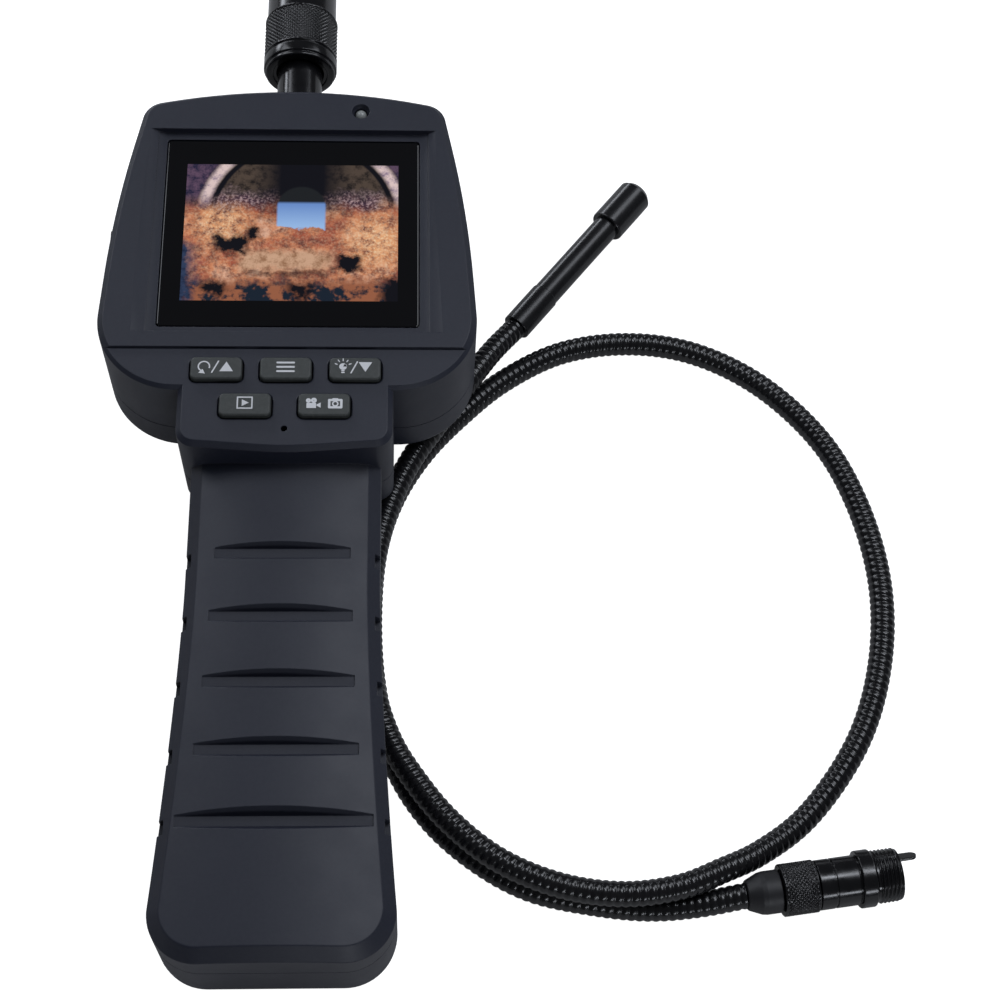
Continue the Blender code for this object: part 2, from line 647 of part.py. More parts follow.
def boards(mats):
    outline = [(20.5, -56, 2), (20.5, -43, 0), (34, -38, 3), (34, 31, 3)]
    board = plate(whole(outline), [(z, 0) for z in BOARD_Z])
    add_object("main_circuit_board", board, mats["board"])
    sheet = rectangle(46, 18.6, 1.5, (0, -46.2))
    levels = [(MEMBRANE_Z[0], 0), (MEMBRANE_Z[1] - 0.3, 0), (MEMBRANE_Z[1], 0.3)]
    membrane = add_object("keypad_membrane", plate(sheet, levels), mats["rubber"])
    dimples = []
    for x, y in BUTTONS.values():
        dimples.append(rod(2.2, (x, y, MEMBRANE_Z[0] - 1), (x, y, MEMBRANE_Z[0] + 0.4), 12))
    combine(membrane, "DIFFERENCE", merged(dimples))
    x, y = MIC_XY
    bm = rod(2.2, (x, y + 1.0, BOARD_Z[1] + GAP), (x, y + 1.0, BOARD_Z[1] + 2.4), 20)
    add_object("microphone", bm, mats["steel"])


def buttons(mats):
    for name, (x, y) in BUTTONS.items():
        low, high = BUTTON_FLANGE_Z
        cap = rectangle(BUTTON_X, BUTTON_Y, 1.3, (x, y))
        levels = [(low, -0.9), (high, -0.9), (high + 0.01, 0)]
        levels += [(BUTTON_TOP_Z - 0.6, 0), (BUTTON_TOP_Z - 0.17, 0.17), (BUTTON_TOP_Z, 0.6)]
        add_object(name, plate(cap, levels), mats["button"], (x, y, BUTTON_TOP_Z))
        push_switch(name.replace("button", "switch"), x, y, mats["inner_plastic"])


def push_switch(name, x, y, finish):
    """A square dome switch with a round plunger on top."""
    low, middle, high = SWITCH_Z
    base = rectangle(SWITCH_SIDE, SWITCH_SIDE, 0.8, (x, y))
    switch = add_object(name, plate(base, [(low, 0), (middle, 0)]), finish)
    combine(switch, "UNION", rod(PLUNGER_R, (x, y, middle - 0.5), (x, y, high), 20))


def status_led(mats):
    x, y = LED_XY
    top = FACE_Z - 0.6 - 36.0
    profile = [(0, 0), (1.8, 0), (1.8, 1.0), (LED_R, 1.0), (LED_R, top - LED_R)]
    for k in range(1, 5):
        angle = math.pi / 2 * k / 4
        radius = 0 if k == 4 else LED_R * math.cos(angle)
        profile.append((radius, top - LED_R + LED_R * math.sin(angle)))
    bm = turned(profile, Vector((x, y, 36.0)), Vector((0, 0, 1)), 20)
    add_object("status_led", bm, mats["lamp"])


# ---------------------------------------------------------------- sockets and card


def sockets(mats):
    usb = add_object("usb_port", block((-41.4, -35.0), (-14.0, -5.5), (30.6, 33.3)), mats["steel"])
    combine(usb, "DIFFERENCE", block((-42, -37.0), (-13.4, -6.1), (31.2, 32.7)))
    bm = rod(2.1, (-41.0, 6.5, 31.2), (-31.6, 6.5, 31.2), 20)
    jack = add_object("video_jack", bm, mats["inner_plastic"])
    combine(jack, "DIFFERENCE", rod(1.25, (-43, 6.5, 31.2), (-34.0, 6.5, 31.2), 16))
    hinge = (-46.8, (COVER_Y[0] + COVER_Y[1]) / 2, COVER_Z[0])
    cover = wall_strip(0.0, COVER_THICK)
    cover.name = "port_cover"
    cover.data.materials.append(mats["rubber"])
    cover.data.transform(Matrix.Translation(-Vector(hinge) * MM))
    cover.location = Vector(hinge) * MM
    combine(cover, "INTERSECT", block((-60, 0), COVER_Y, COVER_Z))


def card(mats):
    inner_x = CARD_OUT_X - CARD_LENGTH
    middle = (CARD_Y[0] + CARD_Y[1]) / 2
    bm = plate(
        rectangle(CARD_LENGTH, CARD_Y[1] - CARD_Y[0], 0.8, (inner_x + CARD_LENGTH / 2, middle)),
        [(CARD_Z[0], 0), (CARD_Z[1], 0)],
    )
    add_object("memory_card", bm, mats["inner_plastic"], (CARD_OUT_X, middle, CARD_Z[0]))
    x_range = (inner_x - 1.5, CARD_OUT_X - 4.0)
    outer = block(x_range, (CARD_Y[0] - 1.2, CARD_Y[1] + 1.2), (CARD_Z[0] - 1.0, CARD_Z[1] + 0.9))
    socket = add_object("card_socket", outer, mats["steel"])
    slot = block(
        (inner_x - GAP, CARD_OUT_X),
        (CARD_Y[0] - GAP, CARD_Y[1] + GAP),
        (CARD_Z[0] - GAP, CARD_Z[1] + GAP),
    )
    combine(socket, "DIFFERENCE", slot)


# ---------------------------------------------------------------- battery bay


def battery_bay(mats):
    top = CELL_Z + CELL_R + GAP
    y_low = CELL_Y[1] - CELL_LENGTH - 1.2
    y_high = CELL_Y[0] + 1.2
    tray = block((-16.2, 16.2), (y_low, y_high), (CELL_Z - 2, top + 1.2))
    tray = add_object("battery_tray", tray, mats["inner_plastic"])
    room_y = (y_low + 1.0, y_high - 1.0)
    combine(tray, "DIFFERENCE", block((-15.0, 15.0), room_y, (CELL_Z - 4, top)))
    number = 0
    for x in (-CELL_X, CELL_X):
        for y in CELL_Y:
            number += 1
            low = y - CELL_LENGTH
            profile = [(0, 0), (CELL_R - 0.6, 0), (CELL_R, 0.6), (CELL_R, CELL_LENGTH - 2.0)]
            profile += [(CELL_R - 0.7, CELL_LENGTH - 1.4), (2.7, CELL_LENGTH - 1.4)]
            profile += [(2.7, CELL_LENGTH - 0.3), (0, CELL_LENGTH - 0.3)]
            bm = turned(profile, Vector((x, low, CELL_Z)), Vector((0, 1, 0)), 20)
            add_object(f"battery_cell_{number}", bm, mats["cell_jacket"])
    y = y_low - 0.4
    levels = block((-14, 14), (y - 0.5, y), (CELL_Z - 5, CELL_Z + 5))
    add_object("battery_contact_low", levels, mats["brass"])
    y = y_high + 0.4
    for side, name in ((-1, "battery_contact_left"), (1, "battery_contact_right")):
        x_range = sorted((side * 1.2, side * 13.6))
        bm = block(x_range, (y, y + 0.5), (CELL_Z - 5, CELL_Z + 5))
        add_object(name, bm, mats["brass"])


# ---------------------------------------------------------------- neck and coupling nut


def along_neck(profile, segments=32):
    return turned(profile, Vector((0, 0, NECK_Z)), Vector((0, 1, 0)), segments)


def neck(mats):
    bore, outer, end = NECK_BORE_R, NECK_R, NECK_END_Y
    profile = [(bore, NECK_LOW_Y), (outer, NECK_LOW_Y), (outer, FLANGE_Y[0])]
    profile += [(FLANGE_R, FLANGE_Y[0]), (FLANGE_R, FLANGE_Y[1]), (outer, FLANGE_Y[1])]
    profile += [(outer, STOP_RING_Y[0]), (STOP_RING_R, STOP_RING_Y[0])]
    profile += [(STOP_RING_R, STOP_RING_Y[1]), (outer, STOP_RING_Y[1]), (outer, end), (bore, end)]
    add_object("neck_tube", along_neck(profile), mats["anodised"])
    seal_r, seal_y, seal_thick = 7.4, FLANGE_Y[0] - 0.95, 0.85
    ring = []
    for k in range(6):
        angle = 2 * math.pi * k / 6
        ring.append((seal_r + seal_thick * math.cos(angle), seal_y + seal_thick * math.sin(angle)))
    add_object("neck_seal", along_neck(ring, 24), mats["rubber"])
    nut_in, nut_out, nut_y = outer + GAP, 8.4, (NECK_LOW_Y + 0.4, FLANGE_Y[0] - 1.9)
    profile = [(nut_in, nut_y[0]), (nut_out, nut_y[0]), (nut_out, nut_y[1]), (nut_in, nut_y[1])]
    add_object("neck_lock_nut", along_neck(profile, 24), mats["steel"])
    insert_r, insert_end, hole_circle, hole_r = 6.6, 84, 3.4, 0.6
    profile = [(0, end + GAP), (insert_r, end + GAP), (insert_r, insert_end), (0, insert_end)]
    insert = add_object("socket_insert", along_neck(profile, 32), mats["inner_plastic"])
    holes = []
    for k in range(5):
        angle = 2 * math.pi * k / 5
        x, z = hole_circle * math.cos(angle), NECK_Z + hole_circle * math.sin(angle)
        holes.append(rod(hole_r, (x, insert_end - 5, z), (x, insert_end + 2, z), 8))
    combine(insert, "DIFFERENCE", merged(holes))


def coupling_nut(mats):
    low, high = NUT_LOW_Y, NUT_END_Y
    rim, band, sleeve = NUT_RIM_R, NUT_BAND_R, NUT_SLEEVE_R
    band_low, band_high = (low + y for y in NUT_BAND_Y)
    groove_low, groove_high = (low + y for y in NUT_GROOVE_Y)
    groove_r, slope = band - 0.35, 0.3
    bore, wide = NUT_BORE_R, NUT_WIDE_BORE_R
    profile = [(bore, low), (rim - 0.5, low), (rim, low + 0.5), (rim, band_low - 0.3)]
    profile += [(band, band_low), (band, groove_low), (groove_r, groove_low + slope)]
    profile += [(groove_r, groove_high - slope), (band, groove_high), (band, band_high)]
    profile += [(sleeve, band_high + 0.4), (sleeve, high - 0.6), (sleeve - 0.6, high)]
    profile += [(wide + 0.4, high), (wide, high - 0.5)]
    profile += [(wide, low + NUT_WIDE_BORE_Y), (bore, low + NUT_WIDE_BORE_Y)]
    origin = (0, low, NECK_Z)
    add_object("coupling_nut", along_neck(profile), mats["anodised"], origin)


# ---------------------------------------------------------------- camera cable


def spline(points, steps):
    """A smooth path through the points (centripetal Catmull-Rom)."""
    points = [Vector(p) for p in points]
    ends = [2 * points[0] - points[1], *points, 2 * points[-1] - points[-2]]
    path = []
    for p0, p1, p2, p3 in zip(ends, ends[1:], ends[2:], ends[3:]):
        t1 = (p1 - p0).length ** 0.5
        t2 = t1 + (p2 - p1).length ** 0.5
        t3 = t2 + (p3 - p2).length ** 0.5
        for k in range(steps):
            t = t1 + (t2 - t1) * k / steps
            a1 = p0.lerp(p1, t / t1)
            a2 = p1.lerp(p2, (t - t1) / (t2 - t1))
            a3 = p2.lerp(p3, (t - t2) / (t3 - t2))
            b1 = a1.lerp(a2, t / t2)
            b2 = a2.lerp(a3, (t - t1) / (t3 - t1))
            path.append(b1.lerp(b2, (t - t1) / (t2 - t1)))
    path.append(points[-1])
    return path


def between(path, start, end):
    """The stretch of a path from one distance along it to another."""
    stretch = []
    travelled = 0.0
    for a, b in zip(path, path[1:]):
        length = (b - a).length
        if travelled <= start < travelled + length:
            stretch.append(a.lerp(b, (start - travelled) / length))
        if start < travelled + length < end:
            stretch.append(b)
        if travelled < end <= travelled + length:
            stretch.append(a.lerp(b, (end - travelled) / length))
        travelled += length
    return stretch


def tube(path, radius, dome_start, dome_end, sides=8):
    """A round bar along a path; an end is rounded or flat."""
    bm = bmesh.new()
    up = Vector((0, 0, 1))
    rings = []

    def add_ring(centre, forward, size):
        side = up.cross(forward).normalized()
        top = forward.cross(side).normalized()
        ring = []
        for k in range(sides):
            angle = 2 * math.pi * k / sides
            ring.append(bm.verts.new(centre + (side * math.cos(angle) + top * math.sin(angle)) * size))
        rings.append(ring)

    first = (path[1] - path[0]).normalized()
    last = (path[-1] - path[-2]).normalized()
    if dome_start:
        for angle in (1.3, 0.8, 0.4):
            add_ring(path[0] - first * radius * math.sin(angle), first, radius * math.cos(angle))
    for i, centre in enumerate(path):
        ahead = path[min(i + 1, len(path) - 1)] - path[max(i - 1, 0)]
        add_ring(centre, ahead.normalized(), radius)
    if dome_end:
        for angle in (0.4, 0.8, 1.3):
            add_ring(path[-1] + last * radius * math.sin(angle), last, radius * math.cos(angle))
    for low, high in zip(rings, rings[1:]):
        for k in range(sides):
            m = (k + 1) % sides
            bm.faces.new((low[k], low[m], high[m], high[k]))
    bm.faces.new(list(reversed(rings[0])))
    bm.faces.new(rings[-1])
    return facing_out(bm)


def gooseneck(mats):
    path = spline(GOOSENECK, steps=3)
    total = sum((b - a).length for a, b in zip(path, path[1:]))
    lift = between(path, LIFT_AT, LIFT_AT + 1)[0]
    swing = between(path, SWING_AT, SWING_AT + 1)[0]
    clear = BEND_CLEARANCE
    end = between(path, SOCKET_GAP, LIFT_AT - clear)
    middle = between(path, LIFT_AT + clear, SWING_AT - clear)
    coil = between(path, SWING_AT + clear, total - SOCKET_GAP)
    add_object("gooseneck_end", tube(end, CABLE_R, False, True, 12), mats["gooseneck"], lift)
    add_object("gooseneck_middle", tube(middle, CABLE_R, True, True, 12), mats["gooseneck"], swing)
    add_object("gooseneck_coil", tube(coil, CABLE_R, True, False), mats["gooseneck"])
    return lift


def camera_tip(mats, origin):
    """The stiff end of the cable. Its stations are distances from the ferrule's open end."""
    direction = (CAMERA_NOSE - FERRULE_END).normalized()

    def piece(name, profile, finish, segments=24):
        bm = turned(profile, FERRULE_END, direction, segments)
        add_object(name, bm, mats[finish], origin)

    def bar(radius, start, end):
        return [(0, start), (radius, start), (radius, end), (0, end)]

    nose = (CAMERA_NOSE - FERRULE_END).length
    ferrule = [(0, 0), (FERRULE_R - 0.3, 0), (FERRULE_R, 0.5)]
    ferrule += [(FERRULE_R, FERRULE_LENGTH), (0, FERRULE_LENGTH)]
    piece("tip_ferrule", ferrule, "anodised")
    tube_end = nose - HOUSING_LENGTH - GAP
    piece("tip_tube", bar(TIP_TUBE_R, FERRULE_LENGTH + GAP, tube_end), "anodised")
    start, deep = tube_end + GAP, nose - NOSE_BORE_DEPTH
    housing = [(0, start), (HOUSING_R - 0.5, start), (HOUSING_R, start + 0.5)]
    housing += [(HOUSING_R, nose - NOSE_CHAMFER), (HOUSING_R - NOSE_CHAMFER, nose)]
    housing += [(NOSE_BORE_R, nose), (NOSE_BORE_R, deep), (0, deep)]
    piece("camera_housing", housing, "anodised", 28)
    window_r = NOSE_BORE_R - GAP
    window_back, ring_back, lens_front = nose - 1.0, nose - 2.4, nose - 1.4
    piece("lens_window", bar(window_r, window_back, nose - 0.3), "glass")
    ring = [(LENS_R + GAP, ring_back), (window_r, ring_back)]
    ring += [(window_r, window_back - GAP), (LENS_R + GAP, window_back - GAP)]
    piece("tip_light_ring", ring, "lamp")
    piece("lens_barrel", bar(LENS_R, deep + 0.4, lens_front), "brass", 16)


def connector(mats):
    """The cable's plug. Its stations are distances from the tail along its axis."""
    direction = (CONNECTOR_FACE - CONNECTOR_TAIL).normalized()

    def piece(name, profile, finish, segments=28):
        bm = turned(profile, CONNECTOR_TAIL, direction, segments)
        return add_object(name, bm, mats[finish])

    face = (CONNECTOR_FACE - CONNECTOR_TAIL).length
    relief_end, ring_end, groove, flange, flange_end = PLUG_STATIONS
    relief = [(0, 0), (3.6, 0), (4.9, 3.4), (RELIEF_R, 4.2), (RELIEF_R, relief_end), (0, relief_end)]
    piece("strain_relief", relief, "rubber")
    start, edge = relief_end + GAP, 0.4
    ring = [(0, start), (PLUG_RING_R - edge, start), (PLUG_RING_R, start + edge)]
    ring += [(PLUG_RING_R, ring_end - edge), (PLUG_RING_R - edge, ring_end), (0, ring_end)]
    piece("connector_grip_ring", ring, "anodised")
    body, sunk, half = PLUG_R, PLUG_R - 0.3, 0.2
    barrel = [(0, ring_end + GAP), (body, ring_end + GAP), (body, groove - half)]
    barrel += [(sunk, groove - half), (sunk, groove + half), (body, groove + half)]
    barrel += [(body, flange - 0.3), (PLUG_FLANGE_R, flange + edge)]
    barrel += [(PLUG_FLANGE_R, flange_end - edge), (PLUG_FLANGE_R - edge, flange_end), (0, flange_end)]
    piece("connector_barrel", barrel, "anodised")
    start, deep = flange_end + GAP, flange_end + 1.8
    thread = [(0, start), (PLUG_THREAD_R, start), (PLUG_THREAD_R, face - 1.0)]
    thread += [(PLUG_THREAD_R - edge, face), (PLUG_MOUTH_R + 0.2, face)]
    thread += [(PLUG_MOUTH_R, face - edge), (PLUG_MOUTH_R, deep), (0, deep)]
    piece("thread_barrel", thread, "anodised")
    start, end = deep + GAP, face - 1.5
    profile = [(0, start), (PLUG_INSERT_R, start), (PLUG_INSERT_R, end), (0, end)]
    piece("contact_insert", profile, "inner_plastic")
    side = Vector((-direction.y, direction.x, 0))
    outward = (side + Vector((0, 0, 1))).normalized()
    across = direction.cross(outward)
    corners = []
    for along in (start + GAP, face + KEY_OUT):
        middle = CONNECTOR_TAIL + direction * along + outward * KEY_AT_R
        a, b = across * KEY_SIZE[0] / 2, outward * KEY_SIZE[1] / 2
        corners.append([middle - a - b, middle + a - b, middle + a + b, middle - a + b])
    add_object("connector_key", loft(corners), mats["steel"])


def build():
    clear_scene()
    mats = make_materials()
    front_shell(mats)
    rear_shell(mats)
    battery_door(mats)
    case_screws(mats)
    screen(mats)
    boards(mats)
    buttons(mats)
    status_led(mats)
    sockets(mats)
    card(mats)
    battery_bay(mats)
    neck(mats)
    coupling_nut(mats)
    lift = gooseneck(mats)
    camera_tip(mats, lift)
    connector(mats)


build()
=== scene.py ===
"""Looks of the inspection camera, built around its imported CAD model.

Lengths are in millimetres and become metres in place(). +X is to the right of the screen, +Y runs
from the grip to the head, and +Z points out of the screen. The unit lies on the plane Z = 0.
"""

import json
import math

import bmesh
import bpy
from mathutils import Matrix, Vector
from mathutils.bvhtree import BVHTree
from mathutils.interpolate import poly_3d_calc

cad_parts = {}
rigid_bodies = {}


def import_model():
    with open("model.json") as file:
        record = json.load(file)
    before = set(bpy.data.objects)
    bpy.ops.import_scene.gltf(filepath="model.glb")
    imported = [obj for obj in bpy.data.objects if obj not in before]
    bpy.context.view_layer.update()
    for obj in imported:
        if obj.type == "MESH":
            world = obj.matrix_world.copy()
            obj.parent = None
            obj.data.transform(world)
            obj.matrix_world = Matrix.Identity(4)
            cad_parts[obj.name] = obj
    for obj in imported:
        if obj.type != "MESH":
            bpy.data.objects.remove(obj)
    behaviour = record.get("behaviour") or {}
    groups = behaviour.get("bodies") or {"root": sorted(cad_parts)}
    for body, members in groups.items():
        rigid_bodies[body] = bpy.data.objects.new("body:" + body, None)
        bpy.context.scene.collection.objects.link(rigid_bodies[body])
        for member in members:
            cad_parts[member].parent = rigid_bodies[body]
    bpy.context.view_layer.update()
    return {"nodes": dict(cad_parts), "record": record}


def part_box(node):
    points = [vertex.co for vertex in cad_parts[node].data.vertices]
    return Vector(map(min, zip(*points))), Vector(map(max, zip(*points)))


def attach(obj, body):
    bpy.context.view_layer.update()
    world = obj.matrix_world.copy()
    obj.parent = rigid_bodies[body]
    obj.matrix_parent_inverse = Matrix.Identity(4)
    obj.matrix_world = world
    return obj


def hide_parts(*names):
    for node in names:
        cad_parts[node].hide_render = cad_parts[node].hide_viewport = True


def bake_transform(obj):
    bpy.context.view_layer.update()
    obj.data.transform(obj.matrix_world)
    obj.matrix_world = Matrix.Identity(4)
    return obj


MM = 0.001
GAP = 0.3
UP = Vector((0, 0, 1))
PLAIN_SHARP = 32  # edges sharper than this many degrees stay sharp on a plain piece

for leftover in list(bpy.data.objects):
    bpy.data.objects.remove(leftover)

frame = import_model()


def span(node):
    """Lowest and highest corner of a CAD node, in millimetres."""
    low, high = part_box(node)
    return low / MM, high / MM


def middle(node):
    low, high = span(node)
    return (low + high) / 2


# ---------------------------------------------------------------- driving sizes

FRONT_LOW, FRONT_HIGH = span("front_shell")
REAR_LOW, REAR_HIGH = span("rear_shell")
GLASS_LOW, GLASS_HIGH = span("screen_window")
NECK_LOW, NECK_HIGH = span("neck_tube")
NUT_LOW, NUT_HIGH = span("coupling_nut")
DOOR_LOW, DOOR_HIGH = span("battery_door")
COVER_LOW, COVER_HIGH = span("port_cover")
CARD_LOW, CARD_HIGH = span("memory_card")

FACE_Z = FRONT_HIGH.z
PANEL_Z = FACE_Z - 0.6
SEAM_Z = (FRONT_LOW.z + REAR_HIGH.z) / 2
SCREEN_FLOOR_Z = GLASS_HIGH.z
NECK_Z = (NECK_LOW.z + NECK_HIGH.z) / 2
WALL = 2.4

# Head: right half of the outline, from the bottom corner up to the middle of the top: (x, y, fillet)
HEAD_HALF = [(48.0, -46.1, 20), (44.7, 6, 310), (38.4, 38.65, 6), (0, 46.95, 156)]
RIM_Z = 13.5
HEAD_BACK_R, HEAD_CHAMFER = 3.0, 1.5
HEAD_CEILING_Z, KEY_CEILING_Z, GRIP_CEILING_Z = 40.3, 42.5, 33.2
CREASE_Y = -34.9
HUMP_HALF = [(26, -23, 9), (26, 23, 9)]
TONGUE_HALF = [(0, -63.2, 80), (26, -61.2, 4.5), (26, -38, 0)]
TONGUE_BACK_R, TONGUE_CHAMFER = 1.5, 1.3

# Grip
GRIP_TOP_Y, GRIP_END_Y = -50.0, FRONT_LOW.y
GRIP_FRONT_Z = 37.5
GRIP_NARROW, GRIP_FLARE, FLARE_POWER = 23.1, 4.6, 1.52
FLARE_START_Y, FLARE_END_Y = -92.0, -172.6
HEEL_START_Y, HEEL_END_Y = -138.0, -170.0
CROWN, GRIP_CHAMFER, GRIP_BACK_R, GRIP_CORNER_R = 2.6, 3.0, 10.2, 12.0
GRIP_ROWS, GRIP_COLUMNS, GRIP_CORNER_STEPS = 48, 32, 16
GROOVE_Y = [-84.6, -100.7, -117.0, -133.4, -150.0]
GROOVE_REACH = [0.80, 0.83, 0.84, 0.86, 0.97]
GROOVE_SINK = 0.35  # depth of a groove's floor below the front at the groove's ends
GROOVE_FLOOR = 2.4
GROOVE_UPPER_SLOPE, GROOVE_LOWER_SLOPE = 1.8, 2.0
NOTCH_Y, NOTCH_DEPTH, NOTCH_Z = (-3.8, -0.3), 1.3, (29.8, 34.5)

BUTTONS = ["rotate_up", "menu", "light_down", "play", "capture"]
KEY_FLANGE = 0.9
KEY_X = span("button_menu")[1].x * 2 - 2 * KEY_FLANGE
KEY_Y = span("button_menu")[1].y - span("button_menu")[0].y - 2 * KEY_FLANGE
SCREWS = [middle(f"case_screw_{k}") for k in range(1, 7)]
SCREW_HEAD_R, SCREW_R = 2.2, 1.1
COVER_THICK = 1.4
PORT_Y, PORT_Z = (-17, 15), (30, 34.6)
GLASS_XY = ((GLASS_LOW.x + GLASS_HIGH.x) / 2, (GLASS_LOW.y + GLASS_HIGH.y) / 2)
PICTURE_X, PICTURE_Y = 54.0, 41.0
PICTURE_RIGHT, PICTURE_TOP = PICTURE_X / 2, PICTURE_Y / 2

# Neck and coupling nut
NECK_R, NECK_BORE_R = 6.0, 4.0
STOP_RING_R, STOP_RING_Y = 6.9, (67.6, 69.6)
FLANGE_R, FLANGE_Y = 8.6, (37.2, 39.6)
NUT_RIM_R, NUT_BAND_R, NUT_SLEEVE_R = 9.4, 9.9, 9.35
NUT_BAND_Y, NUT_GROOVE_Y = (1.4, 17.0), (3.9, 4.8)
NUT_BORE_R, NUT_WIDE_BORE_R, NUT_WIDE_BORE_Y = 6.35, 7.4, 6.2
KNURL_PITCH, KNURL_DEPTH = 1.2, 0.4

# Camera cable. The path runs from the ferrule to the connector, as in the CAD.
CABLE_R = 3.1
TIP_Z, CONNECTOR_Z = 4.8, 7.0
LOW, HIGH = 3.15, 9.45  # heights of a strand on the table and of one that lies on another
FERRULE_END = Vector((58.6, -4.4, TIP_Z))
CAMERA_NOSE = Vector((93.6, 39.8, TIP_Z))
CONNECTOR_TAIL = Vector((109.5, -161.4, CONNECTOR_Z))
CONNECTOR_FACE = Vector((146.0, -156.4, CONNECTOR_Z))
GOOSENECK = [
    (58.6, -4.4, TIP_Z), (51.8, -13.6, 7.4), (45.0, -24.5, HIGH), (37.5, -36.0, HIGH),
    (30.5, -47.0, HIGH), (25.2, -59.0, HIGH), (21.2, -75.0, HIGH), (19.8, -92.0, HIGH),
    (21.0, -109.0, HIGH), (25.5, -123.5, HIGH), (31.5, -133.5, HIGH), (39.5, -143.5, HIGH),
    (51.0, -153.0, HIGH), (65.5, -159.3, HIGH), (80.5, -161.5, HIGH), (94.0, -159.8, HIGH),
    (104.5, -155.4, 7.8), (113.8, -150.6, 5.0), (126.5, -141.0, LOW), (141.0, -121.5, LOW),
    (148.5, -100.5, LOW), (150.5, -78.5, LOW), (146.5, -55.5, LOW), (138.5, -37.5, LOW),
    (123.0, -20.5, LOW), (105.5, -11.0, LOW), (88.0, -8.5, LOW), (70.5, -11.5, LOW),
    (54.8, -20.3, LOW), (43.5, -30.5, LOW), (33.5, -42.0, LOW), (26.0, -55.0, LOW),
    (21.6, -69.5, LOW), (20.2, -91.0, LOW), (22.0, -111.0, LOW), (27.5, -129.0, LOW),
    (35.5, -141.5, LOW), (46.5, -151.5, LOW), (58.5, -158.3, LOW), (73.0, -161.8, LOW),
    (87.0, -163.3, LOW), (98.5, -162.8, 4.4), (109.5, -161.4, CONNECTOR_Z),
]
ARMOUR_PITCH, ARMOUR_DEPTH = 1.9, 0.36
ARMOUR_RINGS_PER_TURN, ARMOUR_SIDES = 8, 24
LIFT_END, SWING_END = 14.0, 30.0  # path distance at which one armour piece passes to the next
FERRULE_R, FERRULE_LENGTH, TIP_TUBE_R = 3.9, 13.0, 3.65
HOUSING_R, HOUSING_LENGTH, NOSE_CHAMFER = 4.8, 14.7, 1.3
NOSE_BORE_R, NOSE_BORE_DEPTH, LENS_R = 3.5, 7.5, 1.45
PLUG_STATIONS = (8.0, 16.7, 20.8, 26.8, 30.4)
RELIEF_R, PLUG_RING_R, PLUG_R, PLUG_FLANGE_R = 5.1, 6.2, 5.9, 6.8
PLUG_THREAD_R, PLUG_MOUTH_R, PLUG_INSERT_R = 6.35, 5.0, 3.5
PLUG_KNURL_PITCH, PLUG_KNURL_DEPTH = 1.0, 0.3
THREAD_PITCH, THREAD_DEPTH = 0.95, 0.5
KEY_AT_R, KEY_OUT, KEY_SIZE = 4.3, 4.6, (3.0, 0.8)


# ---------------------------------------------------------------- shapes


def rounded(corners, small_step=11.0, large_step=3.0):
    """Points of a closed outline, counter-clockwise, with each corner (x, y, r) rounded to r."""
    points = []
    for i, (x, y, radius) in enumerate(corners):
        here = Vector((x, y))
        if not radius:
            points.append(here)
            continue
        before = (Vector(corners[i - 1][:2]) - here).normalized()
        after = (Vector(corners[(i + 1) % len(corners)][:2]) - here).normalized()
        half = before.angle(after) / 2
        reach = radius / math.tan(half)
        centre = here + (before + after).normalized() * radius / math.sin(half)
        start = here + before * reach - centre
        turn = math.pi - 2 * half
        step = small_step if radius < 5 else large_step
        steps = max(1, round(math.degrees(turn) / step), round(radius * turn / 4))
        for k in range(steps + 1):
            points.append(centre + Matrix.Rotation(turn * k / steps, 2) @ start)
    return points


def whole(right_half):
    """Mirror the right half of an outline; a corner at x = 0 is used once."""
    left = [(-x, y, r) for x, y, r in reversed(right_half) if x]
    return rounded(right_half + left)


def rectangle(size_x, size_y, radius, centre=(0, 0)):
    x, y = size_x / 2, size_y / 2
    cx, cy = centre
    corners = [(cx - x, cy - y), (cx + x, cy - y), (cx + x, cy + y), (cx - x, cy + y)]
    return rounded([(*corner, radius) for corner in corners])


def inset(points, distance):
    """Move each side of a closed counter-clockwise outline inwards by the distance."""
    moved = []
    for i, here in enumerate(points):
        before = (here - points[i - 1]).normalized()
        after = (points[(i + 1) % len(points)] - here).normalized()
        inward = Vector((-before.y - after.y, before.x + after.x)).normalized()
        share = inward.dot(Vector((-before.y, before.x)))
        moved.append(here + inward * distance / share)
    return moved


def facing_out(bm):
    if bm.calc_volume(signed=True) < 0:
        bmesh.ops.reverse_faces(bm, faces=bm.faces[:])
    return bm


def loft(rings):
    """Join rings of equal length into one closed body with flat ends."""
    bm = bmesh.new()
    made = [[bm.verts.new(point) for point in ring] for ring in rings]
    count = len(made[0])
    for low, high in zip(made, made[1:]):
        for i in range(count):
            j = (i + 1) % count
            bm.faces.new((low[i], low[j], high[j], high[i]))
    bm.faces.new(list(reversed(made[0])))
    bm.faces.new(made[-1])
    return facing_out(bm)


def plate(points, levels):
    """A body over an outline; each level is (height, inset of the outline there)."""
    return loft([[(p.x, p.y, z) for p in inset(points, d)] for z, d in levels])


def block(x_range, y_range, z_range):
    (x0, x1), (y0, y1), (z0, z1) = x_range, y_range, z_range
    corners = [Vector((x0, y0)), Vector((x1, y0)), Vector((x1, y1)), Vector((x0, y1))]
    return plate(corners, [(z0, 0), (z1, 0)])


def arc(centre, radius, start_degrees, end_degrees, steps):
    """Points (a, b) on an arc about a centre."""
    points = []
    for k in range(steps + 1):
        angle = math.radians(start_degrees + (end_degrees - start_degrees) * k / steps)
        points.append((centre[0] + radius * math.cos(angle), centre[1] + radius * math.sin(angle)))
    return points


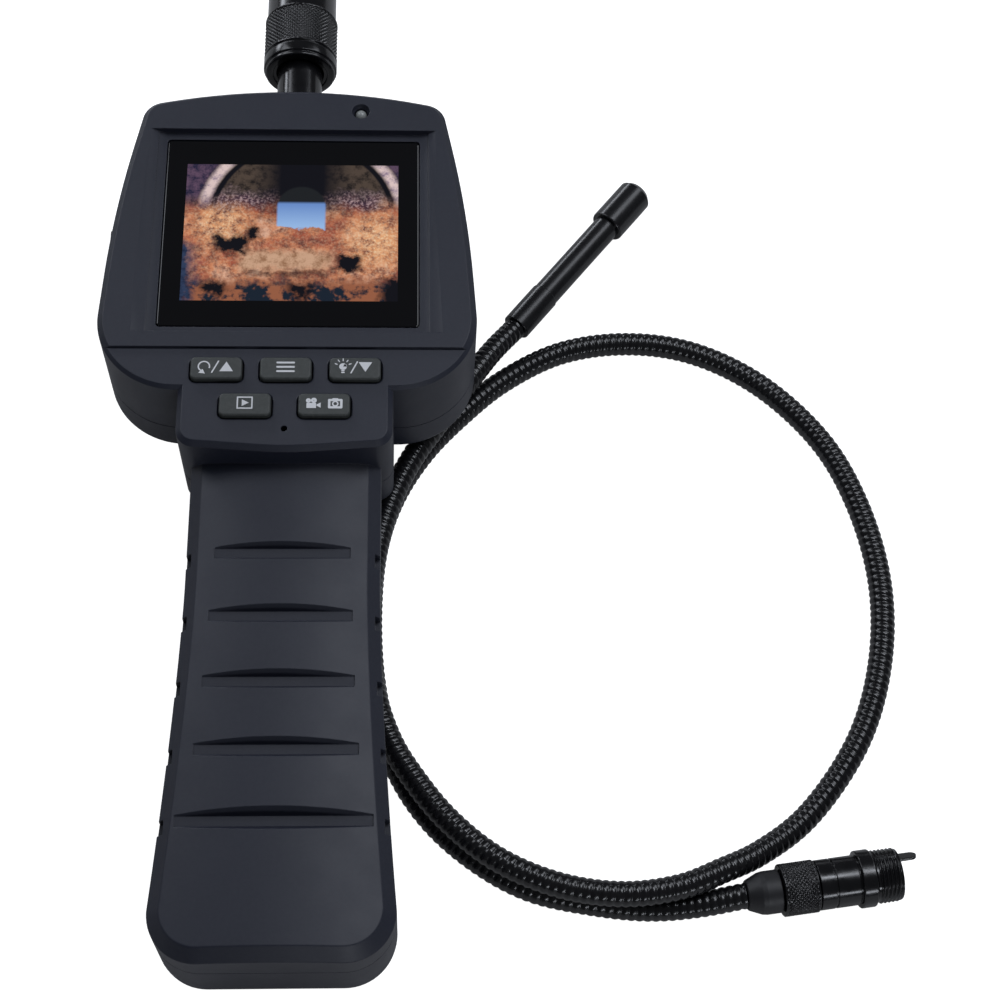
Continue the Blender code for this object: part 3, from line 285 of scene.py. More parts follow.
def soften(corners, closed=True, step=15.0):
    """A turned piece's profile with its corners (radius, along, fillet) rounded."""
    points = []
    count = len(corners)
    for i, (a, b, fillet) in enumerate(corners):
        here = Vector((a, b))
        if not fillet or (not closed and i in (0, count - 1)):
            points.append((a, b))
            continue
        before = Vector(corners[i - 1][:2]) - here
        after = Vector(corners[(i + 1) % count][:2]) - here
        half = before.angle(after) / 2
        reach = fillet / math.tan(half)
        room = min(before.length, after.length) * 0.49
        if reach > room:
            reach = room
            fillet = reach * math.tan(half)
        start = here + before.normalized() * reach
        centre = here + (before.normalized() + after.normalized()).normalized() * fillet / math.sin(half)
        turn = math.pi - 2 * half
        side = 1 if before.cross(after) < 0 else -1
        steps = max(2, round(math.degrees(turn) / step))
        for k in range(steps + 1):
            offset = Matrix.Rotation(side * turn * k / steps, 2) @ (start - centre)
            points.append(tuple(centre + offset))
    return points


def turned(profile, start, direction, segments=96, relief=None):
    """Turn a closed profile of (radius, distance) about the line from start along direction.

    relief(angle, radius, distance) is what is added to the radius there.
    """
    bm = bmesh.new()
    turn = direction.to_track_quat("Z", "Y").to_matrix().to_4x4()
    place_at = Matrix.Translation(start) @ turn
    rings = []
    for radius, along in profile:
        if radius < 1e-6:
            rings.append([bm.verts.new(place_at @ Vector((0, 0, along)))])
            continue
        ring = []
        for k in range(segments):
            angle = 2 * math.pi * k / segments
            r = radius + relief(angle, radius, along) if relief else radius
            point = Vector((r * math.cos(angle), r * math.sin(angle), along))
            ring.append(bm.verts.new(place_at @ point))
        rings.append(ring)
    for i, ring in enumerate(rings):
        other = rings[(i + 1) % len(rings)]
        if len(ring) == 1 and len(other) == 1:
            continue
        for k in range(segments):
            m = (k + 1) % segments
            if len(ring) == 1:
                bm.faces.new((ring[0], other[m], other[k]))
            elif len(other) == 1:
                bm.faces.new((ring[k], ring[m], other[0]))
            else:
                bm.faces.new((ring[k], ring[m], other[m], other[k]))
    return facing_out(bm)


def rod(radius, start, end, segments=48):
    start, end = Vector(start), Vector(end)
    length = (end - start).length
    return turned([(0, 0), (radius, 0), (radius, length), (0, length)], start, end - start, segments)


def merged(bodies):
    """Put several separate bodies into one mesh."""
    together = bmesh.new()
    for bm in bodies:
        mesh = bpy.data.meshes.new("body")
        bm.to_mesh(mesh)
        bm.free()
        together.from_mesh(mesh)
        bpy.data.meshes.remove(mesh)
    return together


def weighted(mesh):
    """The same mesh with normals that follow its large faces, so that these look flat."""
    obj = bpy.data.objects.new("weighting", mesh)
    bpy.context.scene.collection.objects.link(obj)
    modifier = obj.modifiers.new("normals", "WEIGHTED_NORMAL")
    modifier.mode = "FACE_AREA"
    modifier.keep_sharp = True
    graph = bpy.context.evaluated_depsgraph_get()
    result = bpy.data.meshes.new_from_object(obj.evaluated_get(graph))
    bpy.data.objects.remove(obj)
    bpy.data.meshes.remove(mesh)
    return result


class Solid:
    """A body that is built by adding and removing others, and keeps their smooth normals."""

    def __init__(self, bm):
        self.sources = [(self.mesh_of(bm.copy()), 1)]
        self.obj = self.object_of(bm)

    def mesh_of(self, bm):
        mesh = bpy.data.meshes.new("source")
        bm.to_mesh(mesh)
        bm.free()
        mesh.shade_smooth()
        mesh.set_sharp_from_angle(angle=math.radians(28))
        return weighted(mesh)

    def object_of(self, bm):
        mesh = bpy.data.meshes.new("solid")
        bm.to_mesh(mesh)
        bm.free()
        obj = bpy.data.objects.new("solid", mesh)
        bpy.context.scene.collection.objects.link(obj)
        return obj

    def combine(self, operation, bm):
        self.sources.append((self.mesh_of(bm.copy()), -1 if operation == "DIFFERENCE" else 1))
        tool = self.object_of(bm)
        modifier = self.obj.modifiers.new("combine", "BOOLEAN")
        modifier.operation = operation
        modifier.solver = "MANIFOLD"
        modifier.object = tool
        graph = bpy.context.evaluated_depsgraph_get()
        result = bpy.data.meshes.new_from_object(self.obj.evaluated_get(graph))
        self.obj.modifiers.clear()
        self.obj.data = result
        bpy.data.objects.remove(tool)
        return self

    def add(self, bm):
        return self.combine("UNION", bm)

    def cut(self, bm):
        return self.combine("DIFFERENCE", bm)

    def keep(self, bm):
        return self.combine("INTERSECT", bm)

    def source_corners(self):
        """All source faces as one search tree, with each face's corner normals."""
        points, faces, normals = [], [], []
        for mesh, sign in self.sources:
            first = len(points)
            points += [v.co.copy() for v in mesh.vertices]
            corner = [Vector(n.vector) * sign for n in mesh.corner_normals]
            for face in mesh.polygons:
                faces.append([first + i for i in face.vertices])
                normals.append([corner[i] for i in face.loop_indices])
        return points, faces, normals

    def finish(self, name, finish_name, body, replaces=()):
        """Smooth the result like its sources, name it and hand it to the frame."""
        points, faces, normals = self.source_corners()
        tree = BVHTree.FromPolygons(points, faces, epsilon=0.0)
        mesh = self.obj.data
        mesh.shade_smooth()
        chosen = [Vector((0, 0, 1))] * len(mesh.loops)
        for face in mesh.polygons:
            centre = face.center
            for index in face.loop_indices:
                corner = mesh.vertices[mesh.loops[index].vertex_index].co
                probe = corner.lerp(centre, 0.02)
                best, best_dot = face.normal.copy(), 0.9
                for spot, normal, hit, _ in tree.find_nearest_range(probe, 0.03):
                    closeness = abs(normal.dot(face.normal))
                    if closeness <= best_dot:
                        continue
                    weights = poly_3d_calc([points[i] for i in faces[hit]], spot)
                    smooth = Vector((0, 0, 0))
                    for weight, corner_normal in zip(weights, normals[hit]):
                        smooth += corner_normal * weight
                    if smooth.dot(face.normal) > 0.7:
                        best, best_dot = smooth.normalized(), closeness
                chosen[index] = best
        mesh.normals_split_custom_set(chosen)
        for source, _ in self.sources:
            bpy.data.meshes.remove(source)
        self.obj.name = name
        return place(self.obj, finish_name, body, replaces)

    def take(self):
        """The finished mesh, for use as a tool of another solid."""
        bm = bmesh.new()
        bm.from_mesh(self.obj.data)
        bpy.data.objects.remove(self.obj)
        for source, _ in self.sources:
            bpy.data.meshes.remove(source)
        return bm


def place(obj, finish_name, body, replaces=()):
    """Scale a finished piece to metres, give it its finish, and let it ride on its body, if it has one."""
    obj.data.transform(Matrix.Scale(MM, 4))
    obj.data.materials.clear()
    obj.data.materials.append(FINISH[finish_name])
    if body:
        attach(obj, body)
    if replaces:
        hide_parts(*replaces)
    return obj


def piece(name, bm, finish_name, body, replaces=(), sharp=PLAIN_SHARP):
    """A piece straight from one mesh, smooth except at its sharp edges."""
    mesh = bpy.data.meshes.new(name)
    bm.to_mesh(mesh)
    bm.free()
    mesh.shade_smooth()
    mesh.set_sharp_from_angle(angle=math.radians(sharp))
    if sharp <= PLAIN_SHARP:
        mesh = weighted(mesh)
        mesh.name = name
    obj = bpy.data.objects.new(name, mesh)
    bpy.context.scene.collection.objects.link(obj)
    return place(obj, finish_name, body, replaces)


def split_sides(profile, step):
    """Split the long straight sides of a turned profile, so that a relief can shape them."""
    points = []
    for (r0, a0), (r1, a1) in zip(profile, profile[1:] + profile[:1]):
        points.append((r0, a0))
        if abs(r1 - r0) < 1e-6 and r0 > 1 and abs(a1 - a0) > 2 * step:
            count = round(abs(a1 - a0) / step)
            points += [(r0, a0 + (a1 - a0) * k / count) for k in range(1, count)]
    return points


def zigzag(t):
    """0 at whole numbers, 1 half-way between them."""
    return 1 - abs(2 * (t % 1.0) - 1)


def knurl(band, pitch, depth, low, high):
    """Relief of a diamond knurl on a band of that radius between two stations."""
    teeth = round(2 * math.pi * band / pitch)

    def relief(angle, radius, along):
        if abs(radius - band) > 0.01 or not low < along < high:
            return 0.0
        around = angle / (2 * math.pi) * teeth
        up = along / pitch
        tooth = min(zigzag(around + up), zigzag(around - up))
        ease = min(1.0, (along - low) / 0.4, (high - along) / 0.4)
        return -depth * (1 - min(1.0, 1.5 * tooth)) * ease

    return relief, teeth * 6


def bead(radius, start, end, corner):
    """Profile of a plain solid cylinder with soft edges."""
    corners = [(0, start, 0), (radius, start, corner), (radius, end, corner), (0, end, 0)]
    return soften(corners)


# ---------------------------------------------------------------- casing bodies


def chamfered(z, width, fillet=0.35):
    """Levels (height, inset) of a chamfered upper edge with soft corners."""
    corners = [(0, -width - 3, 0), (0, -width, fillet), (width, 0, fillet), (width + 3, 0, 0)]
    profile = soften(corners, closed=False, step=12)
    return [(z + along, depth) for depth, along in profile[1:-1]]


def edged_plate(points, low, back_radius, high, chamfer):
    levels = []
    for k in range(9):
        angle = math.pi / 2 * k / 8
        levels.append((low + back_radius * (1 - math.cos(angle)), back_radius * (1 - math.sin(angle))))
    return plate(points, levels + chamfered(high, chamfer))


def head_body():
    return edged_plate(whole(HEAD_HALF), RIM_Z, HEAD_BACK_R, FACE_Z, HEAD_CHAMFER)


def tongue_body():
    return edged_plate(whole(TONGUE_HALF), RIM_Z, TONGUE_BACK_R, PANEL_Z, TONGUE_CHAMFER)


def hump_body():
    levels = [(0, 3.0), (0.25, 2.1), (0.7, 1.35), (1.4, 0.75), (2.4, 0.3), (3.6, 0), (RIM_Z + 3.4, 0)]
    return plate(whole(HUMP_HALF), levels)


def simple_head(shrink, low, high):
    edge = max(HEAD_BACK_R - shrink, 0.6)
    levels = [(low, edge), (low + edge, 0), (high - edge, 0), (high, edge)]
    return plate(inset(whole(HEAD_HALF), shrink), levels)


def simple_tongue(shrink, low, high):
    return plate(inset(whole(TONGUE_HALF), shrink), [(low, 0.5), (low + 0.5, 0), (high, 0)])


def smooth_step(t):
    t = min(max(t, 0.0), 1.0)
    return t * t * (3 - 2 * t)


def grip_half_width(y):
    flare = max(0.0, (FLARE_START_Y - y) / (FLARE_START_Y - FLARE_END_Y))
    return GRIP_NARROW + GRIP_FLARE * flare**FLARE_POWER


def grip_back(y):
    heel = (HEEL_START_Y - y) / (HEEL_START_Y - HEEL_END_Y)
    return RIM_Z * (1 - smooth_step(heel))


def grip_front(x, y):
    """Height of the crowned front."""
    share = min(abs(x) / (grip_half_width(y) - GRIP_CHAMFER), 1.0)
    return GRIP_FRONT_Z - CROWN * share * share


def grip_ring(depth, rows, columns, corner_steps):
    """The grip's plan at a depth under its sides: right side, low end, left side, top end."""
    low = GRIP_END_Y + GRIP_CORNER_R
    right = []
    for k in range(rows):
        y = GRIP_TOP_Y + (low - GRIP_TOP_Y) * k / rows
        right.append((grip_half_width(y) - depth, y))
    centre = (grip_half_width(low) - GRIP_CORNER_R, low)
    right += arc(centre, GRIP_CORNER_R - depth, 0, -90, corner_steps)
    shares = [1 - 2 * k / columns for k in range(1, columns)]
    end = [(right[-1][0] * share, right[-1][1]) for share in shares]
    top = [(-right[0][0] * share, right[0][1]) for share in shares]
    left = [(-x, y) for x, y in reversed(right)]
    return right + end + left + top


def grip_body(shrink=0.0):
    """The grip: chamfered and crowned front, deep back corners, square ends under the head."""
    fine = shrink == 0
    rows, columns, corner_steps = (GRIP_ROWS, GRIP_COLUMNS, GRIP_CORNER_STEPS) if fine else (18, 8, 5)
    chamfer = GRIP_CHAMFER - shrink * (2 - math.sqrt(2))
    radius = GRIP_BACK_R - shrink
    ceiling = GRIP_CEILING_Z if shrink else GRIP_FRONT_Z
    bm = bmesh.new()
    rings = []

    def add_ring(depth, height):
        ring = grip_ring(depth + shrink, rows, columns, corner_steps)
        rings.append([bm.verts.new((x, y, height(x, y))) for x, y in ring])

    def back(rise):
        return lambda x, y: grip_back(y) + shrink + rise

    def front(drop):
        return lambda x, y: min(grip_front(x, y) - shrink, ceiling) - drop

    for a, b in arc((0, 0), radius, 90, 0, 10 if fine else 4):
        add_ring(radius - a, back(radius - b))
    soft = 0.6 if fine else 0
    corners = [(0, chamfer + 3, 0), (0, chamfer, soft), (chamfer, 0, soft), (chamfer + 1.5, 0, 0)]
    for depth, drop in soften(corners, closed=False, step=12)[1:-1]:
        add_ring(depth, front(drop))
    for low, high in zip(rings, rings[1:]):
        for i in range(len(low)):
            j = (i + 1) % len(low)
            bm.faces.new((low[j], low[i], high[i], high[j]))
    rows += corner_steps + 1
    fill(bm, rings[0], rows, columns, back(0), -1)
    fill(bm, rings[-1], rows, columns, front(0), 1)
    return facing_out(bm)


def fill(bm, ring, rows, columns, height, side):
    """Close one of the grip's rings with rows that run from its right side to its left side."""
    right = ring[:rows]
    end = ring[rows : rows + columns - 1]
    left = ring[rows + columns - 1 : 2 * rows + columns - 1][::-1]
    top = ring[2 * rows + columns - 1 :][::-1]
    grid = [[right[0], *top, left[0]]]
    for a, b in zip(right[1:-1], left[1:-1]):
        row = [a]
        for j in range(1, columns):
            p = a.co.lerp(b.co, j / columns)
            row.append(bm.verts.new((p.x, p.y, height(p.x, p.y))))
        grid.append([*row, b])
    grid.append([right[-1], *end, left[-1]])
    for one, other in zip(grid, grid[1:]):
        for j in range(columns):
            corners = (one[j], one[j + 1], other[j + 1], other[j])
            bm.faces.new(corners[::side])


def groove_tools():
    """Each groove is a flat-floored channel that fades out where the crown falls to its floor."""
    tools = []
    for y, reach in zip(GROOVE_Y, GROOVE_REACH):
        floor = GRIP_FRONT_Z - CROWN * reach * reach - GROOVE_SINK
        above = GRIP_FRONT_Z + 1
        low = y - GROOVE_FLOOR
        section = [(low, floor), (y, floor), (y + (above - floor) / GROOVE_UPPER_SLOPE, above)]
        section.append((low - (above - floor) / GROOVE_LOWER_SLOPE, above))
        x = (grip_half_width(y) - GRIP_CHAMFER) * reach
        tools.append(loft([[(-x, *p) for p in section], [(x, *p) for p in section]]))
    return tools


def notch_tools():
    tools = []
    for y in GROOVE_Y:
        y_range = [y + offset for offset in NOTCH_Y]
        half = grip_half_width(sum(y_range) / 2)
        for side in (-1, 1):
            x_range = sorted((side * (half - NOTCH_DEPTH), side * (half + 2)))
            tools.append(block(x_range, y_range, NOTCH_Z))
    return tools


# ---------------------------------------------------------------- casing


def wall_strip(depth_from, depth_to, y_range, z_range):
    """A band of the head's left wall between two depths."""
    outer, inner = inset(whole(HEAD_HALF), depth_from), inset(whole(HEAD_HALF), depth_to)
    strip = Solid(plate(outer, [(z_range[0], 0), (z_range[1], 0)]))
    strip.cut(plate(inner, [(z_range[0] - 1, 0), (z_range[1] + 1, 0)]))
    strip.keep(block((-60, 0), y_range, (z_range[0] - 2, z_range[1] + 2)))
    return strip


def casing():
    """The outer form of the whole casing, hollowed, before it is split into its two halves."""
    body = Solid(head_body())
    body.add(tongue_body())
    body.add(grip_body())
    body.add(hump_body())
    hollow_low = RIM_Z + WALL
    body.cut(simple_head(WALL, hollow_low, HEAD_CEILING_Z))
    body.cut(simple_tongue(WALL, hollow_low, KEY_CEILING_Z))
    body.cut(grip_body(WALL))
    body.cut(rod(NECK_R + GAP, (0, 36, NECK_Z), (0, 60, NECK_Z), 64))
    return body


def front_casing():
    body = casing()
    body.keep(block((-80, 80), (-220, 120), (SEAM_Z + GAP / 2, 60)))
    body.cut(block((-60, 60), (-100, CREASE_Y), (PANEL_Z, FACE_Z + 5)))
    crease = [(CREASE_Y + 0.3, FACE_Z + 1), (CREASE_Y - 0.15, PANEL_Z - 0.5), (CREASE_Y - 0.6, FACE_Z + 1)]
    body.cut(loft([[(x, y, z) for y, z in crease] for x in (-60, 60)]))
    for tool in frame_tools():
        body.cut(tool)
    size = GLASS_HIGH - GLASS_LOW
    seat = rectangle(size.x + 2 * GAP, size.y + 2 * GAP, 1, GLASS_XY)
    body.cut(plate(seat, [(GLASS_LOW.z - GAP, 0), (FACE_Z + 1, 0)]))
    for name in BUTTONS:
        body.cut(key_hole(name))
    x, y, _ = middle("status_led")
    well = [(0, -8, 0), (1.75, -8, 0), (1.75, -1.3, 0.1), (2.1, -0.9, 0.2), (2.3, 0, 0.3)]
    well = soften([*well, (3.4, 2, 0), (0, 2, 0)])
    body.cut(turned(well, Vector((x, y, FACE_Z)), UP, 48))
    x, y, _ = middle("microphone")
    body.cut(rod(0.8, (x, y - 1, KEY_CEILING_Z - 3), (x, y - 1, PANEL_Z + 2), 32))
    for tool in groove_tools() + notch_tools():
        body.cut(tool)
    y_range, z_range = (COVER_LOW.y - GAP, COVER_HIGH.y + GAP), (COVER_LOW.z - GAP, COVER_HIGH.z + GAP)
    body.cut(wall_strip(-2.0, COVER_THICK + 0.35, y_range, z_range).take())
    body.cut(block((-60, -40), PORT_Y, PORT_Z))
    y_range, z_range = (CARD_LOW.y - GAP, CARD_HIGH.y + GAP), (CARD_LOW.z - GAP, CARD_HIGH.z + GAP)
    body.cut(block((40, 60), y_range, z_range))
    return body.finish("front_casing", "shell", "handset", ["front_shell"])


def frame_tools():
    """The stepped recess around the screen: two sloping sides, an upright wall at the top."""
    tools = []
    top_y, low_y = GLASS_HIGH.y + 2.35, GLASS_LOW.y - 2.65
    rise = 1.5
    right = GLASS_HIGH.x
    steps = [
        ((right + 2.2, low_y + 0.3), SCREEN_FLOOR_Z + 0.75, (right + 6.0, right + 4.4), FACE_Z),
        ((right + 0.35, low_y + 1.3), SCREEN_FLOOR_Z, (right + 2.2, right + 2.2), SCREEN_FLOOR_Z + 0.6),
    ]
    for (floor_x, floor_y), floor_z, (wide_low, wide_top), high in steps:
        floor = whole([(floor_x, floor_y, 0), (floor_x, top_y, 0)])
        brim = whole([(wide_low, low_y, 0), (wide_top, top_y, 0)])
        above = [p + (p - q) * (rise - 1) for p, q in zip(brim, floor)]
        rings = [[(p.x, p.y, floor_z) for p in floor]]
        rings.append([(p.x, p.y, floor_z + (high - floor_z) * rise) for p in above])
        tools.append(loft(rings))
    return tools


def key_hole(name):
    x, y, _ = middle(f"button_{name}")
    outline = rectangle(KEY_X + 2 * GAP, KEY_Y + 2 * GAP, 1.7, (x, y))
    levels = [(KEY_CEILING_Z - 1, 0), (PANEL_Z - 0.35, 0)]
    for rise, spread in arc((0, 0), 0.35, 0, 90, 4):
        levels.append((PANEL_Z - 0.35 + spread, rise - 0.35))
    levels.append((PANEL_Z + 2, -0.35))
    return plate(outline, levels)


def rear_casing():
    body = casing()
    body.keep(block((-80, 80), (-220, 120), (-1, SEAM_Z - GAP / 2)))
    for screw in SCREWS:
        body.cut(screw_hole(screw))
    x = DOOR_HIGH.x + 0.35
    body.cut(block((-x, x), (DOOR_LOW.y - 0.35, DOOR_HIGH.y + 0.35), (-5, 20)))
    return body.finish("rear_casing", "shell", "handset", ["rear_shell"])


def screw_hole(screw):
    low = grip_back(screw.y) if screw.y < GRIP_TOP_Y else RIM_Z
    head = SCREW_HEAD_R + GAP
    profile = soften([(0, -2, 0), (head + 0.5, -2, 0), (head, 0.1, 0.3), (head, 1.5, 0), (0, 1.5, 0)])
    return turned(profile, Vector((screw.x, screw.y, low)), UP, 40)


def door_cover():
    body = Solid(grip_body())
    body.cut(grip_body(WALL))
    body.keep(block((DOOR_LOW.x, DOOR_HIGH.x), (DOOR_LOW.y, DOOR_HIGH.y), (-5, 19)))
    screw = middle("battery_door_screw")
    low = grip_back(screw.y)
    seat = [(0, -3, 0), (3.3, -3, 0), (2.8, 0.2, 0.4), (2.8, 1.3, 0), (1.4, 1.3, 0), (1.4, 5, 0)]
    body.cut(turned(soften([*seat, (0, 5, 0)]), Vector((0, screw.y, low)), UP, 48))
    for k in range(6):
        y = -150 + 3.0 * k
        body.cut(rod(0.9, (-9, y, grip_back(y) - 0.3), (9, y, grip_back(y) - 0.3), 24))
    return body.finish("door_cover", "shell", "door", ["battery_door"])


def screw(name, spot, low, length, body, nodes):
    """A countersunk machine screw seen from its head, with a cross recess."""
    corners = [(0, 0.3, 0), (SCREW_HEAD_R, 0.45, 0.25), (SCREW_HEAD_R, 1.2, 0.1), (SCREW_R, 1.3, 0.1)]
    corners += [(SCREW_R, length - 0.6, 0.2), (SCREW_R - 0.5, length, 0.1), (0, length, 0)]
    base = Vector((spot.x, spot.y, low))
    made = Solid(turned(soften(corners), base, UP, 40))
    for long_x, long_y in ((1.4, 0.3), (0.3, 1.4)):
        x_range, y_range = (spot.x - long_x, spot.x + long_x), (spot.y - long_y, spot.y + long_y)
        made.cut(block(x_range, y_range, (low - 1, low + 0.95)))
    made.finish(name, "steel", body, nodes)


def screws():
    for number, spot in enumerate(SCREWS, start=1):
        low, high = span(f"case_screw_{number}")
        screw(f"screw_{number}", spot, low.z - 0.4, high.z - low.z + 0.4, "handset", [f"case_screw_{number}"])
    low, high = span("battery_door_screw")
    spot = (low + high) / 2
    screw("door_screw", spot, low.z - 0.3, high.z - low.z + 0.3, "door", ["battery_door_screw"])


# ---------------------------------------------------------------- screen, keys and lamp


def window():
    size = GLASS_HIGH - GLASS_LOW
    outline = rectangle(size.x, size.y, 0.8, GLASS_XY)
    low, high = GLASS_LOW.z, GLASS_HIGH.z
    levels = [(low, 0.1), (low + 0.1, 0), (high - 0.25, 0), (high - 0.08, 0.07), (high, 0.25)]
    piece("window", plate(outline, levels), "screen", "handset", ["screen_window"], 20)


def key_cap(name):
    low, high = span(f"button_{name}")
    x, y, _ = (low + high) / 2
    outline = rectangle(KEY_X, KEY_Y, 1.3, (x, y))
    levels = [(low.z, -KEY_FLANGE), (low.z + 1.2, -KEY_FLANGE), (low.z + 1.21, 0)]
    edge = 0.62
    levels += [(high.z - edge + b, edge - a) for a, b in arc((0, 0), edge, 0, 90, 6)]
    outline_piece = plate(outline, levels)
    piece(f"key_{name}", outline_piece, "button", f"{name}_button", [f"button_{name}"])


def bar(a, b, width):
    """A flat stroke with round ends."""
    a, b = Vector(a), Vector(b)
    heading = math.degrees(math.atan2(b.y - a.y, b.x - a.x))
    points = arc(b, width / 2, heading - 90, heading + 90, 8) + arc(a, width / 2, heading + 90, heading + 270, 8)
    return [Vector(p) for p in points]


def bow(centre, radius, width, start, end):
    """A flat stroke along an arc."""
    steps = max(6, round(abs(end - start) / 10))
    outer = arc(centre, radius + width / 2, start, end, steps)
    inner = arc(centre, radius - width / 2, end, start, steps)
    return [Vector(p) for p in outer + inner]


def shape(*points):
    return [Vector(p) for p in points]


def frame_strokes(half_x, half_y, width, centre=(0, 0)):
    cx, cy = centre
    corners = [(cx - half_x, cy - half_y), (cx + half_x, cy - half_y), (cx + half_x, cy + half_y), (cx - half_x, cy + half_y)]
    return [bar(a, b, width) for a, b in zip(corners, corners[1:] + corners[:1])]


def glyphs():
    """Outlines of the key symbols, in millimetres from the middle of each key."""
    thin, thick = 0.34, 0.5
    slash = bar((-0.95, -1.35), (0.55, 1.75), thin)
    rays = []
    for turn in (20, 55, 90, 125, 160):
        ends = [arc((-2.9, 0.5), reach, turn, turn, 1)[0] for reach in (1.55, 2.05)]
        rays.append(bar(*ends, 0.26))
    up = [(0.85, -1.05), (4.15, -1.05), (2.5, 1.65)]
    return {
        "rotate_up": [
            bow((-2.9, 0.3), 1.35, thin, -20, 250),
            shape((-4.2, -1.5), (-2.6, -1.7), (-3.2, -0.4)),
            slash,
            shape(*up),
        ],
        "menu": [bar((-2.0, y), (2.0, y), thick) for y in (-0.95, 0.25, 1.45)],
        "light_down": [
            bow((-2.9, 0.4), 0.45, 0.95, 0, 359),
            bar((-3.15, -0.75), (-2.65, -0.75), thin),
            bar((-3.15, -1.25), (-2.65, -1.25), thin),
            *rays,
            slash,
            shape(*[(x, 0.6 - y) for x, y in reversed(up)]),
        ],
        "play": [*frame_strokes(1.75, 1.5, thin, (0, 0.3)), shape((-0.7, -0.6), (1.0, 0.3), (-0.7, 1.2))],
        "capture": [
            shape((-4.2, -1.1), (-1.9, -1.1), (-1.9, 0.3), (-4.2, 0.3)),
            shape((-1.8, -0.45), (-0.8, -1.0), (-0.8, 0.4), (-1.8, -0.15)),
            bow((-3.75, 0.95), 0.33, 0.55, 0, 359),
            bow((-2.45, 1.0), 0.4, 0.6, 0, 359),
            *frame_strokes(1.45, 1.0, 0.6, (2.7, 0.1)),
            bow((2.7, 0.1), 0.62, 0.34, 0, 359),
            bar((2.2, 1.35), (3.2, 1.35), thick),
        ],
    }


def key_symbols():
    for name, strokes in glyphs().items():
        x, y, _ = middle(f"button_{name}")
        top = span(f"button_{name}")[1].z
        drawn = None
        for outline in strokes:
            lifted = [Vector((p.x + x, p.y + y)) for p in outline]
            bm = loft([[(p.x, p.y, z) for p in lifted] for z in (top - 0.1, top + 0.04)])
            drawn = drawn.add(bm) if drawn else Solid(bm)
        drawn.finish(f"symbol_{name}", "print", f"{name}_button")


def lamp():
    x, y, _ = middle("status_led")
    low, high = span("status_led")
    radius = 1.5
    profile = [(0, low.z), (1.8, low.z), (1.8, low.z + 1), (radius, low.z + 1)]
    profile += [(a, b) for a, b in arc((0, high.z - radius), radius, 0, 90, 10)]
    profile[-1] = (0, high.z)
    piece("lamp_dome", turned(profile, Vector((x, y, 0)), UP, 48), "lamp", "handset", ["status_led"])


# ---------------------------------------------------------------- sockets, card and cells


def side_sockets():
    low, high = span("usb_port")
    usb = Solid(block((low.x, high.x), (low.y, high.y), (low.z, high.z)))
    usb.cut(block((low.x - 1, low.x + 4.4), (low.y + 0.5, high.y - 0.5), (low.z + 0.5, high.z - 0.5)))
    tongue_z = (low.z + high.z) / 2
    usb.add(block((low.x + 0.6, low.x + 4.6), (low.y + 1.4, high.y - 1.4), (tongue_z - 0.1, tongue_z + 0.45)))
    usb.finish("usb_shell", "steel", "handset", ["usb_port"])
    low, high = span("video_jack")
    centre = (low + high) / 2
    length = high.x - low.x
    corners = [(1.25, 0, 0.2), (2.1, 0, 0.2), (2.1, length, 0.2), (0, length, 0), (0, length - 2, 0), (1.25, length - 2, 0)]
    bm = turned(soften(corners), Vector((low.x, centre.y, centre.z)), Vector((1, 0, 0)), 48)
    piece("jack_body", bm, "inner_plastic", "handset", ["video_jack"])
    cover = wall_strip(0.0, COVER_THICK, (COVER_LOW.y, COVER_HIGH.y), (COVER_LOW.z, COVER_HIGH.z))
    lip_x, lip_z = COVER_LOW.x, COVER_HIGH.z - 1.5
    cover.add(block((lip_x - 0.15, lip_x + 1.6), (-7, 5), (lip_z - 0.35, lip_z + 0.35)))
    cover.finish("port_flap_cover", "rubber", "port_flap", ["port_cover"])


def card():
    size = CARD_HIGH - CARD_LOW
    centre = ((CARD_LOW.x + CARD_HIGH.x) / 2, (CARD_LOW.y + CARD_HIGH.y) / 2)
    outline = rectangle(size.x, size.y, 0.8, centre)
    low, high = CARD_LOW.z, CARD_HIGH.z
    body = Solid(plate(outline, [(low, 0.12), (low + 0.12, 0), (high - 0.12, 0), (high, 0.12)]))
    body.cut(block((CARD_HIGH.x - 1.6, CARD_HIGH.x - 1.1), (CARD_LOW.y + 1.5, CARD_HIGH.y - 1.5), (high - 0.25, high + 1)))
    body.finish("card_body", "inner_plastic", "card", ["memory_card"])


def cells():
    for number in range(1, 5):
        low, high = span(f"battery_cell_{number}")
        x, z = (low.x + high.x) / 2, (low.z + high.z) / 2
        radius, length = high.x - x, high.y - low.y
        base = Vector((x, low.y, z))
        along = Vector((0, 1, 0))
        corners = [(0, 0.05, 0), (radius - 1.6, 0.05, 0), (radius - 1.5, 0.25, 0), (radius - 0.4, 0.1, 0.2), (radius, 0.3, 0.3)]
        corners += [(radius, length - 1.5, 0.9), (radius - 1.5, length - 1.2, 0.2), (0, length - 1.3, 0)]
        piece(f"cell_jacket_{number}", turned(soften(corners), base, along, 64), "cell_jacket", "handset", [f"battery_cell_{number}"])
        nub = soften([(0, length - 1.6, 0), (2.7, length - 1.6, 0), (2.7, length, 0.4), (0, length, 0)])
        piece(f"cell_cap_{number}", turned(nub, base, along, 40), "steel", "handset")


# ---------------------------------------------------------------- neck and coupling nut


def along_neck(profile, segments=96, relief=None):
    return turned(profile, Vector((0, 0, NECK_Z)), Vector((0, 1, 0)), segments, relief)


